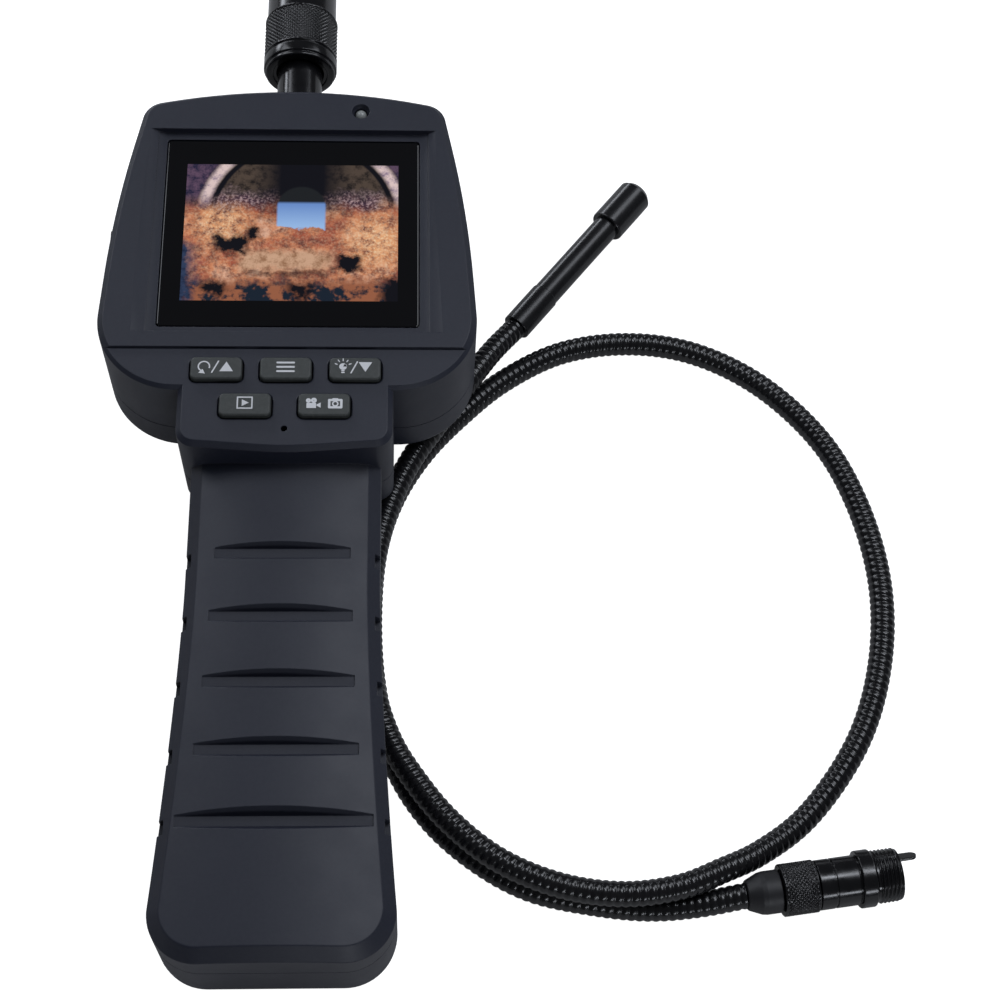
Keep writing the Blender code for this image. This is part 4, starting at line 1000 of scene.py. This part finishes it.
def neck():
    low, end = NECK_LOW.y, NECK_HIGH.y
    corners = [(NECK_BORE_R, low, 0.2), (NECK_R, low, 0.3), (NECK_R, FLANGE_Y[0], 0), (FLANGE_R, FLANGE_Y[0], 0.2)]
    corners += [(FLANGE_R, FLANGE_Y[1], 0.2), (NECK_R, FLANGE_Y[1], 0), (NECK_R, STOP_RING_Y[0], 0)]
    corners += [(STOP_RING_R, STOP_RING_Y[0], 0.2), (STOP_RING_R, STOP_RING_Y[1], 0.2), (NECK_R, STOP_RING_Y[1], 0)]
    corners += [(NECK_R, end, 0.3), (NECK_BORE_R, end, 0.2)]
    piece("neck_pipe", along_neck(soften(corners)), "anodised", "handset", ["neck_tube"])


def nut():
    low, high = NUT_LOW.y, NUT_HIGH.y
    rim, band, sleeve = NUT_RIM_R, NUT_BAND_R, NUT_SLEEVE_R
    band_low, band_high = (low + y for y in NUT_BAND_Y)
    groove_low, groove_high = (low + y for y in NUT_GROOVE_Y)
    groove_r = band - 0.45
    corners = [(NUT_BORE_R, low + 0.4, 0.2), (NUT_BORE_R + 0.9, low + 0.4, 0.1), (NUT_BORE_R + 1.1, low, 0.2)]
    corners += [(rim, low, 0.5), (rim, band_low - 0.3, 0.1), (band, band_low, 0.25), (band, groove_low, 0.15)]
    corners += [(groove_r, groove_low + 0.3, 0.1), (groove_r, groove_high - 0.3, 0.1), (band, groove_high, 0.15)]
    corners += [(band, band_high, 0.3), (sleeve, band_high + 0.4, 0.2), (sleeve, high, 0.6)]
    corners += [(NUT_WIDE_BORE_R, high, 0.4), (NUT_WIDE_BORE_R, low + NUT_WIDE_BORE_Y, 0.2)]
    corners += [(NUT_BORE_R, low + NUT_WIDE_BORE_Y, 0.2)]
    relief, segments = knurl(band, KNURL_PITCH, KNURL_DEPTH, groove_high + 0.2, band_high - 0.3)
    profile = split_sides(soften(corners), 0.2)
    piece("knurled_nut", along_neck(profile, segments, relief), "anodised", "nut", ["coupling_nut"], sharp=50)


# ---------------------------------------------------------------- camera cable


def spline(points, steps):
    """A smooth path through the points (centripetal Catmull-Rom)."""
    points = [Vector(p) for p in points]
    ends = [2 * points[0] - points[1], *points, 2 * points[-1] - points[-2]]
    path = []
    for p0, p1, p2, p3 in zip(ends, ends[1:], ends[2:], ends[3:]):
        t1 = (p1 - p0).length ** 0.5
        t2 = t1 + (p2 - p1).length ** 0.5
        t3 = t2 + (p3 - p2).length ** 0.5
        for k in range(steps):
            t = t1 + (t2 - t1) * k / steps
            a1 = p0.lerp(p1, t / t1)
            a2 = p1.lerp(p2, (t - t1) / (t2 - t1))
            a3 = p2.lerp(p3, (t - t2) / (t3 - t2))
            b1 = a1.lerp(a2, t / t2)
            b2 = a2.lerp(a3, (t - t1) / (t3 - t1))
            path.append(b1.lerp(b2, (t - t1) / (t2 - t1)))
    path.append(points[-1])
    return path


class Route:
    """The gooseneck's centre line, read by distance from the ferrule."""

    def __init__(self, points):
        self.points = points
        self.stations = [0.0]
        for a, b in zip(points, points[1:]):
            self.stations.append(self.stations[-1] + (b - a).length)
        self.length = self.stations[-1]
        self.last = 0

    def at(self, distance):
        i = self.last if self.stations[self.last] <= distance else 0
        while i < len(self.points) - 2 and self.stations[i + 1] < distance:
            i += 1
        self.last = i
        share = (distance - self.stations[i]) / (self.stations[i + 1] - self.stations[i])
        return self.points[i].lerp(self.points[i + 1], share)

    def heading(self, distance):
        return (self.at(min(distance + 0.6, self.length)) - self.at(max(distance - 0.6, 0.0))).normalized()


def armour(route, start, end):
    """A length of wound hose: one rounded bead per turn of its helix."""
    bm = bmesh.new()
    steps = round((end - start) / ARMOUR_PITCH * ARMOUR_RINGS_PER_TURN)
    rings = []
    for i in range(steps + 1):
        distance = start + (end - start) * i / steps
        centre, forward = route.at(distance), route.heading(distance)
        side = UP.cross(forward).normalized()
        top = forward.cross(side).normalized()
        ring = []
        for k in range(ARMOUR_SIDES):
            turn = k / ARMOUR_SIDES
            phase = (distance / ARMOUR_PITCH + turn) % 1.0
            radius = CABLE_R - ARMOUR_DEPTH * (1 - math.sin(math.pi * phase) ** 0.6)
            angle = 2 * math.pi * turn
            spot = centre + (side * math.cos(angle) + top * math.sin(angle)) * radius
            ring.append(bm.verts.new(spot))
        rings.append(ring)
    for low, high in zip(rings, rings[1:]):
        for k in range(ARMOUR_SIDES):
            m = (k + 1) % ARMOUR_SIDES
            bm.faces.new((low[k], low[m], high[m], high[k]))
    bm.faces.new(list(reversed(rings[0])))
    bm.faces.new(rings[-1])
    return facing_out(bm)


def hose():
    route = Route(spline(GOOSENECK, steps=12))
    lift = piece("armour_lift", armour(route, 0.5, LIFT_END), "gooseneck", None, ["gooseneck_end"], 180)
    near, far = route.at(LIFT_END - 1) * MM, route.at(3.0) * MM
    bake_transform(lift)
    swing = piece("armour_swing", armour(route, LIFT_END, SWING_END), "gooseneck", None, ["gooseneck_middle"], 180)
    near, far = route.at(SWING_END - 3) * MM, route.at(LIFT_END + 1) * MM
    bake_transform(swing)
    coil = armour(route, SWING_END, route.length + 0.4)
    piece("armour_coil", coil, "gooseneck", "cable", ["gooseneck_coil"], 180)


def tip():
    """The stiff end of the cable. Its stations are distances from the ferrule's open end."""
    direction = (CAMERA_NOSE - FERRULE_END).normalized()

    def add(name, profile, finish, nodes, segments=96):
        bm = turned(profile, FERRULE_END, direction, segments)
        piece(name, bm, finish, "camera_tip", nodes)

    nose = (CAMERA_NOSE - FERRULE_END).length
    add("ferrule", bead(FERRULE_R, 0, FERRULE_LENGTH, 0.25), "tip_metal", ["tip_ferrule"])
    tube_end = nose - HOUSING_LENGTH - GAP
    add("stiff_tube", bead(TIP_TUBE_R, FERRULE_LENGTH, tube_end + GAP, 0.05), "tip_metal", ["tip_tube"])
    start, deep = tube_end + GAP, nose - NOSE_BORE_DEPTH
    corners = [(0, start, 0), (HOUSING_R - 0.2, start, 0.2), (HOUSING_R, start + 0.4, 0.3)]
    corners += [(HOUSING_R, nose - NOSE_CHAMFER, 0.35), (HOUSING_R - NOSE_CHAMFER + 0.1, nose, 0.25)]
    corners += [(NOSE_BORE_R, nose, 0.08), (NOSE_BORE_R, deep, 0.2), (0, deep, 0)]
    add("tip_housing", soften(corners), "tip_metal", ["camera_housing"])
    window_r, window_back, ring_back = NOSE_BORE_R - GAP, nose - 1.0, nose - 2.4
    add("tip_window", bead(window_r, window_back, nose - 0.3, 0.1), "clear", ["lens_window"])
    inner, ring_front = LENS_R + GAP, window_back - GAP
    ring = [(inner, ring_back, 0.1), (window_r, ring_back, 0.1), (window_r, ring_front, 0.1), (inner, ring_front, 0.3)]
    add("light_ring", soften(ring), "lamp", ["tip_light_ring"])
    corners = [(0, deep + 0.4, 0), (LENS_R, deep + 0.4, 0.2), (LENS_R, nose - 1.4, 0.15), (0.8, nose - 1.4, 0.1), (0.6, nose - 1.9, 0.1), (0, nose - 1.7, 0)]
    add("lens", soften(corners), "brass", ["lens_barrel"], 48)


def plug():
    """The cable's connector. Its stations are distances from the tail along its axis."""
    direction = (CONNECTOR_FACE - CONNECTOR_TAIL).normalized()
    face = (CONNECTOR_FACE - CONNECTOR_TAIL).length
    relief_end, ring_end, groove, flange, flange_end = PLUG_STATIONS

    def add(name, profile, finish, nodes, segments=96, relief=None, sharp=PLAIN_SHARP):
        bm = turned(profile, CONNECTOR_TAIL, direction, segments, relief)
        piece(name, bm, finish, "cable", nodes, sharp)

    corners = [(0, 0, 0), (3.5, 0, 0.4), (4.9, 3.2, 1.2), (RELIEF_R, 4.4, 0.8), (RELIEF_R, relief_end, 0.3), (0, relief_end, 0)]
    add("relief_boot", soften(corners), "rubber", ["strain_relief"])
    start, end = relief_end + GAP, ring_end
    corners = [(0, start, 0), (PLUG_RING_R, start, 0.35), (PLUG_RING_R, end, 0.35), (0, end, 0)]
    relief, segments = knurl(PLUG_RING_R, PLUG_KNURL_PITCH, PLUG_KNURL_DEPTH, start + 0.3, end - 0.3)
    profile = split_sides(soften(corners), 0.17)
    add("knurled_ring", profile, "anodised", ["connector_grip_ring"], segments, relief, 50)
    body, sunk = PLUG_R, PLUG_R - 0.35
    corners = [(0, ring_end + GAP, 0), (body, ring_end + GAP, 0.2), (body, groove - 0.25, 0.12), (sunk, groove - 0.2, 0)]
    corners += [(sunk, groove + 0.2, 0), (body, groove + 0.25, 0.12), (body, flange - 0.4, 0.2)]
    corners += [(body - 0.25, flange - 0.3, 0), (body - 0.25, flange, 0), (PLUG_FLANGE_R, flange + 0.1, 0.3)]
    corners += [(PLUG_FLANGE_R, flange_end, 0.4), (0, flange_end, 0)]
    add("plug_barrel", soften(corners), "anodised", ["connector_barrel"])
    start, deep = flange_end + GAP, flange_end + 1.8
    corners = [(0, start, 0), (PLUG_THREAD_R - 0.5, start, 0), (PLUG_THREAD_R - 0.5, start + 0.5, 0)]
    corners += [(PLUG_THREAD_R, start + 0.6, 0), (PLUG_THREAD_R, face - 0.5, 0), (PLUG_THREAD_R - 0.4, face, 0.2)]
    corners += [(PLUG_MOUTH_R, face, 0.3), (PLUG_MOUTH_R, deep, 0.2), (0, deep, 0)]

    def thread(angle, radius, along):
        if abs(radius - PLUG_THREAD_R) > 0.01:
            return 0.0
        return -THREAD_DEPTH * zigzag(along / THREAD_PITCH + angle / (2 * math.pi))

    add("thread", split_sides(soften(corners), 0.12), "anodised", ["thread_barrel"], 96, thread, 50)
    start, end = deep + GAP, face - 1.5
    socket = Solid(turned(bead(PLUG_INSERT_R, start, end, 0.25), CONNECTOR_TAIL, direction, 64))
    side = Vector((-direction.y, direction.x, 0))
    pins = []
    for k in range(5):
        spread = 2 * math.pi * k / 5 + 0.3
        offset = (side * math.cos(spread) + UP * math.sin(spread)) * 2.1
        base = CONNECTOR_TAIL + offset
        socket.cut(rod(0.62, base + direction * (end - 1.2), base + direction * (end + 1), 24))
        pins.append(turned(bead(0.4, end - 2.0, end + 0.9, 0.2), base, direction, 20))
    socket.finish("plug_insert", "inner_plastic", "cable", ["contact_insert"])
    piece("plug_pins", merged(pins), "brass", "cable")
    outward = (side + UP).normalized()
    across = direction.cross(outward)
    rings = []
    half_wide, half_thick = KEY_SIZE[0] / 2, KEY_SIZE[1] / 2
    tip_at = face + KEY_OUT
    stations = [(start + GAP, 1.0)] + [(tip_at - half_wide * (1 - a), max(b, 0.05)) for a, b in arc((0, 0), 1, 90, 0, 8)]
    outline = rectangle(2, 2 * half_thick, 0.3)
    for station, share in stations:
        centre = CONNECTOR_TAIL + direction * station + outward * KEY_AT_R
        rings.append([centre + across * p.x * half_wide * share + outward * p.y for p in outline])
    piece("plug_key", loft(rings), "anodised", "cable", ["connector_key"])


# ---------------------------------------------------------------- materials


FINISH = {}  # finish name -> material


class Recipe:
    """A material's node tree, built up with short calls."""

    def __init__(self, name, slot):
        self.material = bpy.data.materials.new(name)
        self.material.use_nodes = True
        self.tree = self.material.node_tree
        self.shader = self.tree.nodes["Principled BSDF"]
        self.place = self.node("ShaderNodeTexCoord").outputs["Object"]
        FINISH[name] = self.material

    def node(self, kind, inputs=None, **settings):
        made = self.tree.nodes.new(kind)
        for key, value in settings.items():
            setattr(made, key, value)
        for key, value in (inputs or {}).items():
            self.feed(made.inputs[key], value)
        return made

    def feed(self, socket, value):
        if isinstance(value, bpy.types.NodeSocket):
            self.tree.links.new(value, socket)
        else:
            socket.default_value = value

    def set(self, name, value):
        self.feed(self.shader.inputs[name], value)

    def math(self, operation, a, b=0.0, clamp=False):
        made = self.node("ShaderNodeMath", {0: a, 1: b}, operation=operation, use_clamp=clamp)
        return made.outputs[0]

    def noise(self, size_mm, detail=2.0, roughness=0.5, where=None):
        """Noise between 0 and 1 whose patches are about this wide."""
        inputs = {"Vector": where or self.place, "Scale": 1 / (size_mm * MM), "Detail": detail}
        inputs["Roughness"] = roughness
        return self.node("ShaderNodeTexNoise", inputs).outputs["Fac"]

    def axes(self):
        return self.node("ShaderNodeSeparateXYZ", {0: self.place}).outputs

    def ramp(self, value, low, high, out_low=0.0, out_high=1.0, clamp=True):
        inputs = {"Value": value, "From Min": low, "From Max": high, "To Min": out_low, "To Max": out_high}
        return self.node("ShaderNodeMapRange", inputs, clamp=clamp).outputs["Result"]

    def mix(self, factor, a, b):
        made = self.node("ShaderNodeMix", {0: factor}, data_type="RGBA")
        for socket, value in ((made.inputs["A"], a), (made.inputs["B"], b)):
            self.feed(socket, (*value, 1.0) if isinstance(value, tuple) else value)
        return made.outputs["Result"]

    def bevel(self, radius_mm, samples=6):
        return self.node("ShaderNodeBevel", {"Radius": radius_mm * MM}, samples=samples).outputs["Normal"]

    def bump(self, height, distance_mm, strength=1.0, normal=None):
        inputs = {"Height": height, "Distance": distance_mm * MM, "Strength": strength}
        if normal:
            inputs["Normal"] = normal
        return self.node("ShaderNodeBump", inputs).outputs["Normal"]

    def edges(self, radius_mm, low=0.97, high=0.80):
        """1 on the sharp edges of the piece, 0 elsewhere."""
        normal = self.node("ShaderNodeNewGeometry").outputs["Normal"]
        soft = self.bevel(radius_mm)
        dot = self.node("ShaderNodeVectorMath", {0: normal, 1: soft}, operation="DOT_PRODUCT")
        return self.ramp(dot.outputs["Value"], low, high)


def moulded(name, slot, color, roughness, fleck_wear_and_highlight_colour, grain=0.02, edge=0.25):
    """Moulded plastic or rubber: fine spark texture, faint colour drift, polished paler edges, their paleness partly
    wear and partly a painted edge highlight.
    """
    r = Recipe(name, slot)
    drift = r.noise(22, 3)
    fine = r.noise(0.9, 4)
    dark = tuple(c * 0.88 for c in color)
    base = r.mix(drift, dark, tuple(min(c * 1.12, 1) for c in color))
    base = r.mix(r.ramp(fine, 0.35, 0.75, 0.0, 0.12), base, fleck_wear_and_highlight_colour)
    # Paler edges in random patches: partly rubbed wear, partly a painted highlight along the edges.
    edge_wear_and_highlight = r.math("MULTIPLY", r.edges(edge), r.ramp(r.noise(5, 4), 0.3, 0.7, 0.15, 0.6))
    r.set("Base Color", r.mix(edge_wear_and_highlight, base, fleck_wear_and_highlight_colour))
    rough = r.ramp(r.noise(9, 3), 0.3, 0.7, roughness - 0.025, roughness + 0.025)
    r.set("Roughness", r.math("SUBTRACT", rough, r.math("MULTIPLY", edge_wear_and_highlight, 0.12)))
    spark = r.noise(0.22, 2)
    r.set("Normal", r.bump(spark, grain, 0.6, r.bevel(edge)))
    return r


def metal(name, slot, color, roughness, edge_color, metallic=1.0, edge=0.12):
    """Turned metal, plain or anodised: fine lathe marks and bright edges, partly wear and partly a painted edge
    highlight.
    """
    r = Recipe(name, slot)
    marks = r.noise(0.35, 3)
    # Brighter edges in random patches: partly wear, partly a painted highlight along the edges.
    edge_wear_and_highlight = r.math("MULTIPLY", r.edges(edge), r.ramp(r.noise(2.5, 4), 0.35, 0.7, 0.0, 0.7))
    base = r.mix(r.noise(6, 3), tuple(c * 0.85 for c in color), tuple(min(c * 1.15, 1) for c in color))
    r.set("Base Color", r.mix(edge_wear_and_highlight, base, edge_color))
    r.set("Metallic", metallic)
    r.set("Roughness", r.ramp(r.noise(3, 4), 0.3, 0.7, roughness - 0.05, roughness + 0.06))
    r.set("Normal", r.bump(marks, 0.006, 0.5, r.bevel(edge, 4)))
    return r


def screen_glass():
    """Black-bordered window with the lit picture of a pipe's inside in its middle."""
    r = Recipe("screen", "glass")
    black = (0.004, 0.004, 0.005)
    r.set("Base Color", (*black, 1))
    r.set("Roughness", r.ramp(r.noise(14, 3), 0.3, 0.7, 0.05, 0.10))
    x, y, _ = r.axes()
    u = r.ramp(x, -PICTURE_RIGHT * MM, PICTURE_RIGHT * MM, clamp=False)
    v = r.ramp(y, PICTURE_TOP * MM, -PICTURE_TOP * MM, clamp=False)
    ragged = r.math("SUBTRACT", r.noise(6, 5, 0.65), 0.5)
    wide = r.math("ADD", u, r.math("MULTIPLY", ragged, 0.16))
    tall = r.math("ADD", v, r.math("MULTIPLY", r.math("SUBTRACT", r.noise(5, 5, 0.7), 0.5), 0.2))

    def patch(u0, u1, v0, v1, soft=0.05):
        """1 inside a ragged box of the picture, 0 outside it."""
        left, right = r.ramp(wide, u0 - soft, u0 + soft), r.ramp(wide, u1 + soft, u1 - soft)
        upper, lower = r.ramp(tall, v0 - soft, v0 + soft), r.ramp(tall, v1 + soft, v1 - soft)
        return r.math("MULTIPLY", r.math("MULTIPLY", left, right), r.math("MULTIPLY", upper, lower))

    def distance(cu, cv):
        du = r.math("SUBTRACT", u, cu)
        dv = r.math("MULTIPLY", r.math("SUBTRACT", v, cv), PICTURE_Y / PICTURE_X)
        return r.math("SQRT", r.math("ADD", r.math("MULTIPLY", du, du), r.math("MULTIPLY", dv, dv)))

    patches = r.noise(6, 6, 0.62)
    crumbs = r.ramp(r.noise(2.2, 6, 0.72), 0.36, 0.56)
    speck = r.ramp(r.noise(0.7, 3, 0.6), 0.45, 0.7)
    rust = r.mix(r.ramp(patches, 0.40, 0.52), (0.42, 0.11, 0.06), (0.66, 0.25, 0.12))
    rust = r.mix(r.ramp(patches, 0.52, 0.64), rust, (0.78, 0.45, 0.31))
    rust = r.mix(crumbs, (0.17, 0.06, 0.045), rust)
    rust = r.mix(r.math("MULTIPLY", speck, 0.25), rust, (1.0, 0.68, 0.45))
    roof = r.mix(crumbs, (0.012, 0.009, 0.008), (0.085, 0.06, 0.045))
    colour = r.mix(r.ramp(tall, 0.22, 0.36), roof, rust)
    warm = r.mix(speck, (0.88, 0.43, 0.20), (1.0, 0.74, 0.46))
    bright = r.math("MULTIPLY", r.ramp(distance(0.18, 0.44), 0.17, 0.03), crumbs)
    colour = r.mix(bright, colour, warm)
    bright = r.math("MULTIPLY", r.ramp(distance(0.90, 0.57), 0.20, 0.03), crumbs)
    colour = r.mix(bright, colour, warm)
    speckled = r.mix(speck, (0.035, 0.02, 0.05), (0.60, 0.42, 0.45))
    colour = r.mix(r.math("MULTIPLY", patch(0.08, 0.95, 0.22, 0.31), 0.85), colour, speckled)
    sand = r.mix(crumbs, (0.34, 0.17, 0.09), (0.66, 0.40, 0.26))
    colour = r.mix(patch(0.27, 0.68, 0.64, 0.78, 0.03), colour, sand)
    lower = r.mix(r.ramp(patches, 0.46, 0.54), (0.008, 0.016, 0.03), (0.34, 0.12, 0.06))
    colour = r.mix(r.ramp(tall, 0.80, 0.90), colour, lower)
    dark = (0.003, 0.003, 0.006)
    for box in (
        (0.15, 0.30, 0.54, 0.66),
        (0.29, 0.36, 0.47, 0.56),
        (0.70, 0.83, 0.67, 0.79),
        (0.30, 0.66, 0.795, 0.815),
        (0.93, 1.2, 0.82, 1.2),
        (0.10, 0.22, 0.86, 0.94),
        (0.50, 0.60, 0.88, 0.97),
    ):
        colour = r.mix(patch(*box, 0.02), colour, dark)
    night = r.mix(crumbs, (0.004, 0.008, 0.03), (0.03, 0.05, 0.11))
    colour = r.mix(patch(-0.2, 0.05, 0.58, 1.2, 0.035), colour, night)
    off_middle = r.math("ABSOLUTE", r.math("SUBTRACT", u, 0.545))
    shade = r.math("MULTIPLY", r.ramp(off_middle, 0.24, 0.10), r.ramp(v, 0.46, 0.22))
    colour = r.mix(shade, colour, dark)
    sky = r.mix(r.ramp(v, 0.30, 0.46), (0.16, 0.30, 0.66), (0.34, 0.54, 0.88))
    opening = r.mix(r.ramp(v, 0.275, 0.295), (0.012, 0.014, 0.016), sky)
    arch = r.ramp(distance(0.545, 0.315), 0.118, 0.108)
    below = r.math("MULTIPLY", r.ramp(off_middle, 0.118, 0.108), r.ramp(v, 0.30, 0.31))
    floor_line = r.ramp(r.math("ADD", v, r.math("MULTIPLY", ragged, 0.15)), 0.472, 0.462)
    hole = r.math("MULTIPLY", r.math("MAXIMUM", arch, below), floor_line)
    colour = r.mix(hole, colour, opening)
    rim = distance(0.55, 0.40)
    high_up = r.ramp(v, 0.34, 0.22)
    outside = r.math("MULTIPLY", r.ramp(rim, 0.49, 0.51), high_up)
    colour = r.mix(outside, colour, r.mix(crumbs, (0.01, 0.012, 0.04), (0.12, 0.07, 0.12)))
    joint = r.ramp(r.math("ABSOLUTE", r.math("SUBTRACT", rim, 0.47)), 0.035, 0.012)
    shine = r.mix(crumbs, (0.25, 0.18, 0.28), (0.80, 0.62, 0.60))
    colour = r.mix(r.math("MULTIPLY", joint, high_up), colour, shine)
    crack = r.ramp(r.math("ABSOLUTE", r.math("SUBTRACT", rim, 0.425)), 0.016, 0.008)
    colour = r.mix(r.math("MULTIPLY", crack, high_up), colour, dark)
    inside = r.math("MULTIPLY", r.math("LESS_THAN", r.math("ABSOLUTE", x), PICTURE_RIGHT * MM),
                    r.math("LESS_THAN", r.math("ABSOLUTE", y), PICTURE_TOP * MM))
    r.set("Emission Color", r.mix(inside, (0, 0, 0), colour))
    r.set("Emission Strength", 0.85)
    r.set("Normal", r.bump(r.noise(30, 2), 0.01, 0.2))
    return r


def clear_window():
    """Clear lens window with a dark coating."""
    r = Recipe("clear", "glass")
    r.set("Base Color", (0.5, 0.52, 0.6, 1))
    r.set("Roughness", r.ramp(r.noise(3, 3), 0.3, 0.7, 0.02, 0.06))
    r.set("Transmission Weight", 0.9)
    r.set("Normal", r.bump(r.noise(4, 2), 0.004, 0.2))
    return r


def make_materials():
    moulded("shell", "shell", (0.0110, 0.0135, 0.0260), 0.5, (0.034, 0.038, 0.052))
    moulded("button", "button", (0.040, 0.045, 0.043), 0.55, (0.15, 0.16, 0.155), edge=0.3)
    moulded("rubber", "rubber", (0.010, 0.010, 0.012), 0.5, (0.03, 0.03, 0.032), 0.03)
    moulded("inner_plastic", "inner_plastic", (0.03, 0.03, 0.033), 0.55, (0.07, 0.07, 0.075))
    moulded("gooseneck", "gooseneck", (0.005, 0.005, 0.006), 0.22, (0.05, 0.05, 0.052), 0.01, 0.12)
    moulded("tip_metal", "anodised", (0.006, 0.006, 0.007), 0.25, (0.05, 0.05, 0.055), 0.01, 0.15)
    moulded("cell_jacket", "cell_jacket", (0.22, 0.24, 0.27), 0.35, (0.5, 0.5, 0.52), 0.005)
    moulded("print", "button", (0.72, 0.73, 0.75), 0.6, (0.85, 0.85, 0.86), 0.01, 0.03)
    moulded("board", "board", (0.015, 0.10, 0.05), 0.45, (0.08, 0.2, 0.12), 0.01)
    metal("anodised", "anodised", (0.006, 0.006, 0.007), 0.18, (0.07, 0.07, 0.07), 0.0)
    metal("steel", "steel", (0.50, 0.50, 0.51), 0.30, (0.75, 0.75, 0.76))
    metal("brass", "brass", (0.62, 0.47, 0.20), 0.30, (0.85, 0.7, 0.4))
    lens = moulded("lamp", "lamp", (0.42, 0.44, 0.43), 0.18, (0.8, 0.82, 0.8), 0.004, 0.05)
    lens.set("Transmission Weight", 0.25)
    screen_glass()
    clear_window()


# ---------------------------------------------------------------- stage


def area_light(name, spot, target, size, power):
    light = bpy.data.lights.new(name, "AREA")
    light.shape = "RECTANGLE"
    light.size, light.size_y = size
    light.energy = power
    light.color = (0.88, 0.92, 1.0)
    obj = bpy.data.objects.new(name, light)
    obj.location = spot
    obj.rotation_euler = (Vector(target) - Vector(spot)).to_track_quat("-Z", "Y").to_euler()
    bpy.context.scene.collection.objects.link(obj)


def studio():
    """Soft boxes on all sides, a dim room, and a pale floor that looks white to the camera."""
    world = bpy.data.worlds.new("studio")
    world.use_nodes = True
    room = world.node_tree.nodes["Background"]
    room.inputs["Color"].default_value = (0.92, 0.95, 1.0, 1)
    nodes, links = world.node_tree.nodes, world.node_tree.links
    seen, strength = nodes.new("ShaderNodeLightPath"), nodes.new("ShaderNodeMapRange")
    strength.inputs["To Min"].default_value, strength.inputs["To Max"].default_value = 0.075, 1.0
    links.new(seen.outputs["Is Camera Ray"], strength.inputs["Value"])
    links.new(strength.outputs["Result"], room.inputs["Strength"])
    bpy.context.scene.world = world
    target = (0.02, -0.06, 0.02)
    area_light("left_softbox", (-0.62, 0.50, 0.80), target, (0.4, 0.7), 2.7)
    area_light("right_softbox", (0.70, 0.45, 0.80), target, (0.4, 0.7), 2.9)
    area_light("overhead_strip", (0.36, 0.10, 0.95), (0.13, -0.16, 0.01), (0.6, 0.12), 2.6)
    area_light("front_strip", (0.35, -1.00, 0.30), (0.13, -0.16, 0.01), (0.5, 0.12), 1.6)
    area_light("back_strip", (-0.55, 0.95, 0.30), (0.07, 0.0, 0.01), (0.8, 0.2), 3.5)

    camera = bpy.data.cameras.new("camera")
    camera.lens = 72.0
    camera.sensor_width = 36.0
    camera.clip_start = 0.01
    obj = bpy.data.objects.new("camera", camera)
    obj.location = (0.03125, -0.28514, 0.46839)
    obj.rotation_euler = [math.radians(a) for a in (26.278, -2.237, -1.004)]
    bpy.context.scene.collection.objects.link(obj)
    bpy.context.scene.camera = obj
    bpy.context.scene.view_settings.view_transform = "Standard"

    size = 3.0
    bm = bmesh.new()
    bmesh.ops.create_grid(bm, x_segments=8, y_segments=8, size=size)
    mesh = bpy.data.meshes.new("floor")
    bm.to_mesh(mesh)
    bm.free()
    floor = bpy.data.objects.new("floor", mesh)
    floor.location.z = -0.0004
    bpy.context.scene.collection.objects.link(floor)
    paper = Recipe("floor", "shell")
    paper.set("Base Color", (0.55, 0.55, 0.55, 1))
    paper.set("Roughness", 0.9)
    paper.set("Emission Color", (1.0, 1.0, 1.0, 1))
    seen = paper.node("ShaderNodeLightPath", {}).outputs["Is Camera Ray"]
    paper.set("Emission Strength", paper.ramp(seen, 0, 1, 0.06, 1.0))
    mesh.materials.append(paper.material)


def finish_cad_nodes():
    """The CAD pieces that stay visible get the finish of their slot."""
    finish_of = {"glass": "clear"}
    for part in frame["record"]["subparts"]:
        slot = part["material_slot"]
        mesh = frame["nodes"][part["node"]].data
        mesh.materials.clear()
        mesh.materials.append(FINISH[finish_of.get(slot, slot)])


make_materials()
front_casing()
rear_casing()
door_cover()
screws()
window()
for key in BUTTONS:
    key_cap(key)
key_symbols()
lamp()
side_sockets()
card()
cells()
neck()
nut()
hose()
tip()
plug()
finish_cad_nodes()
studio()
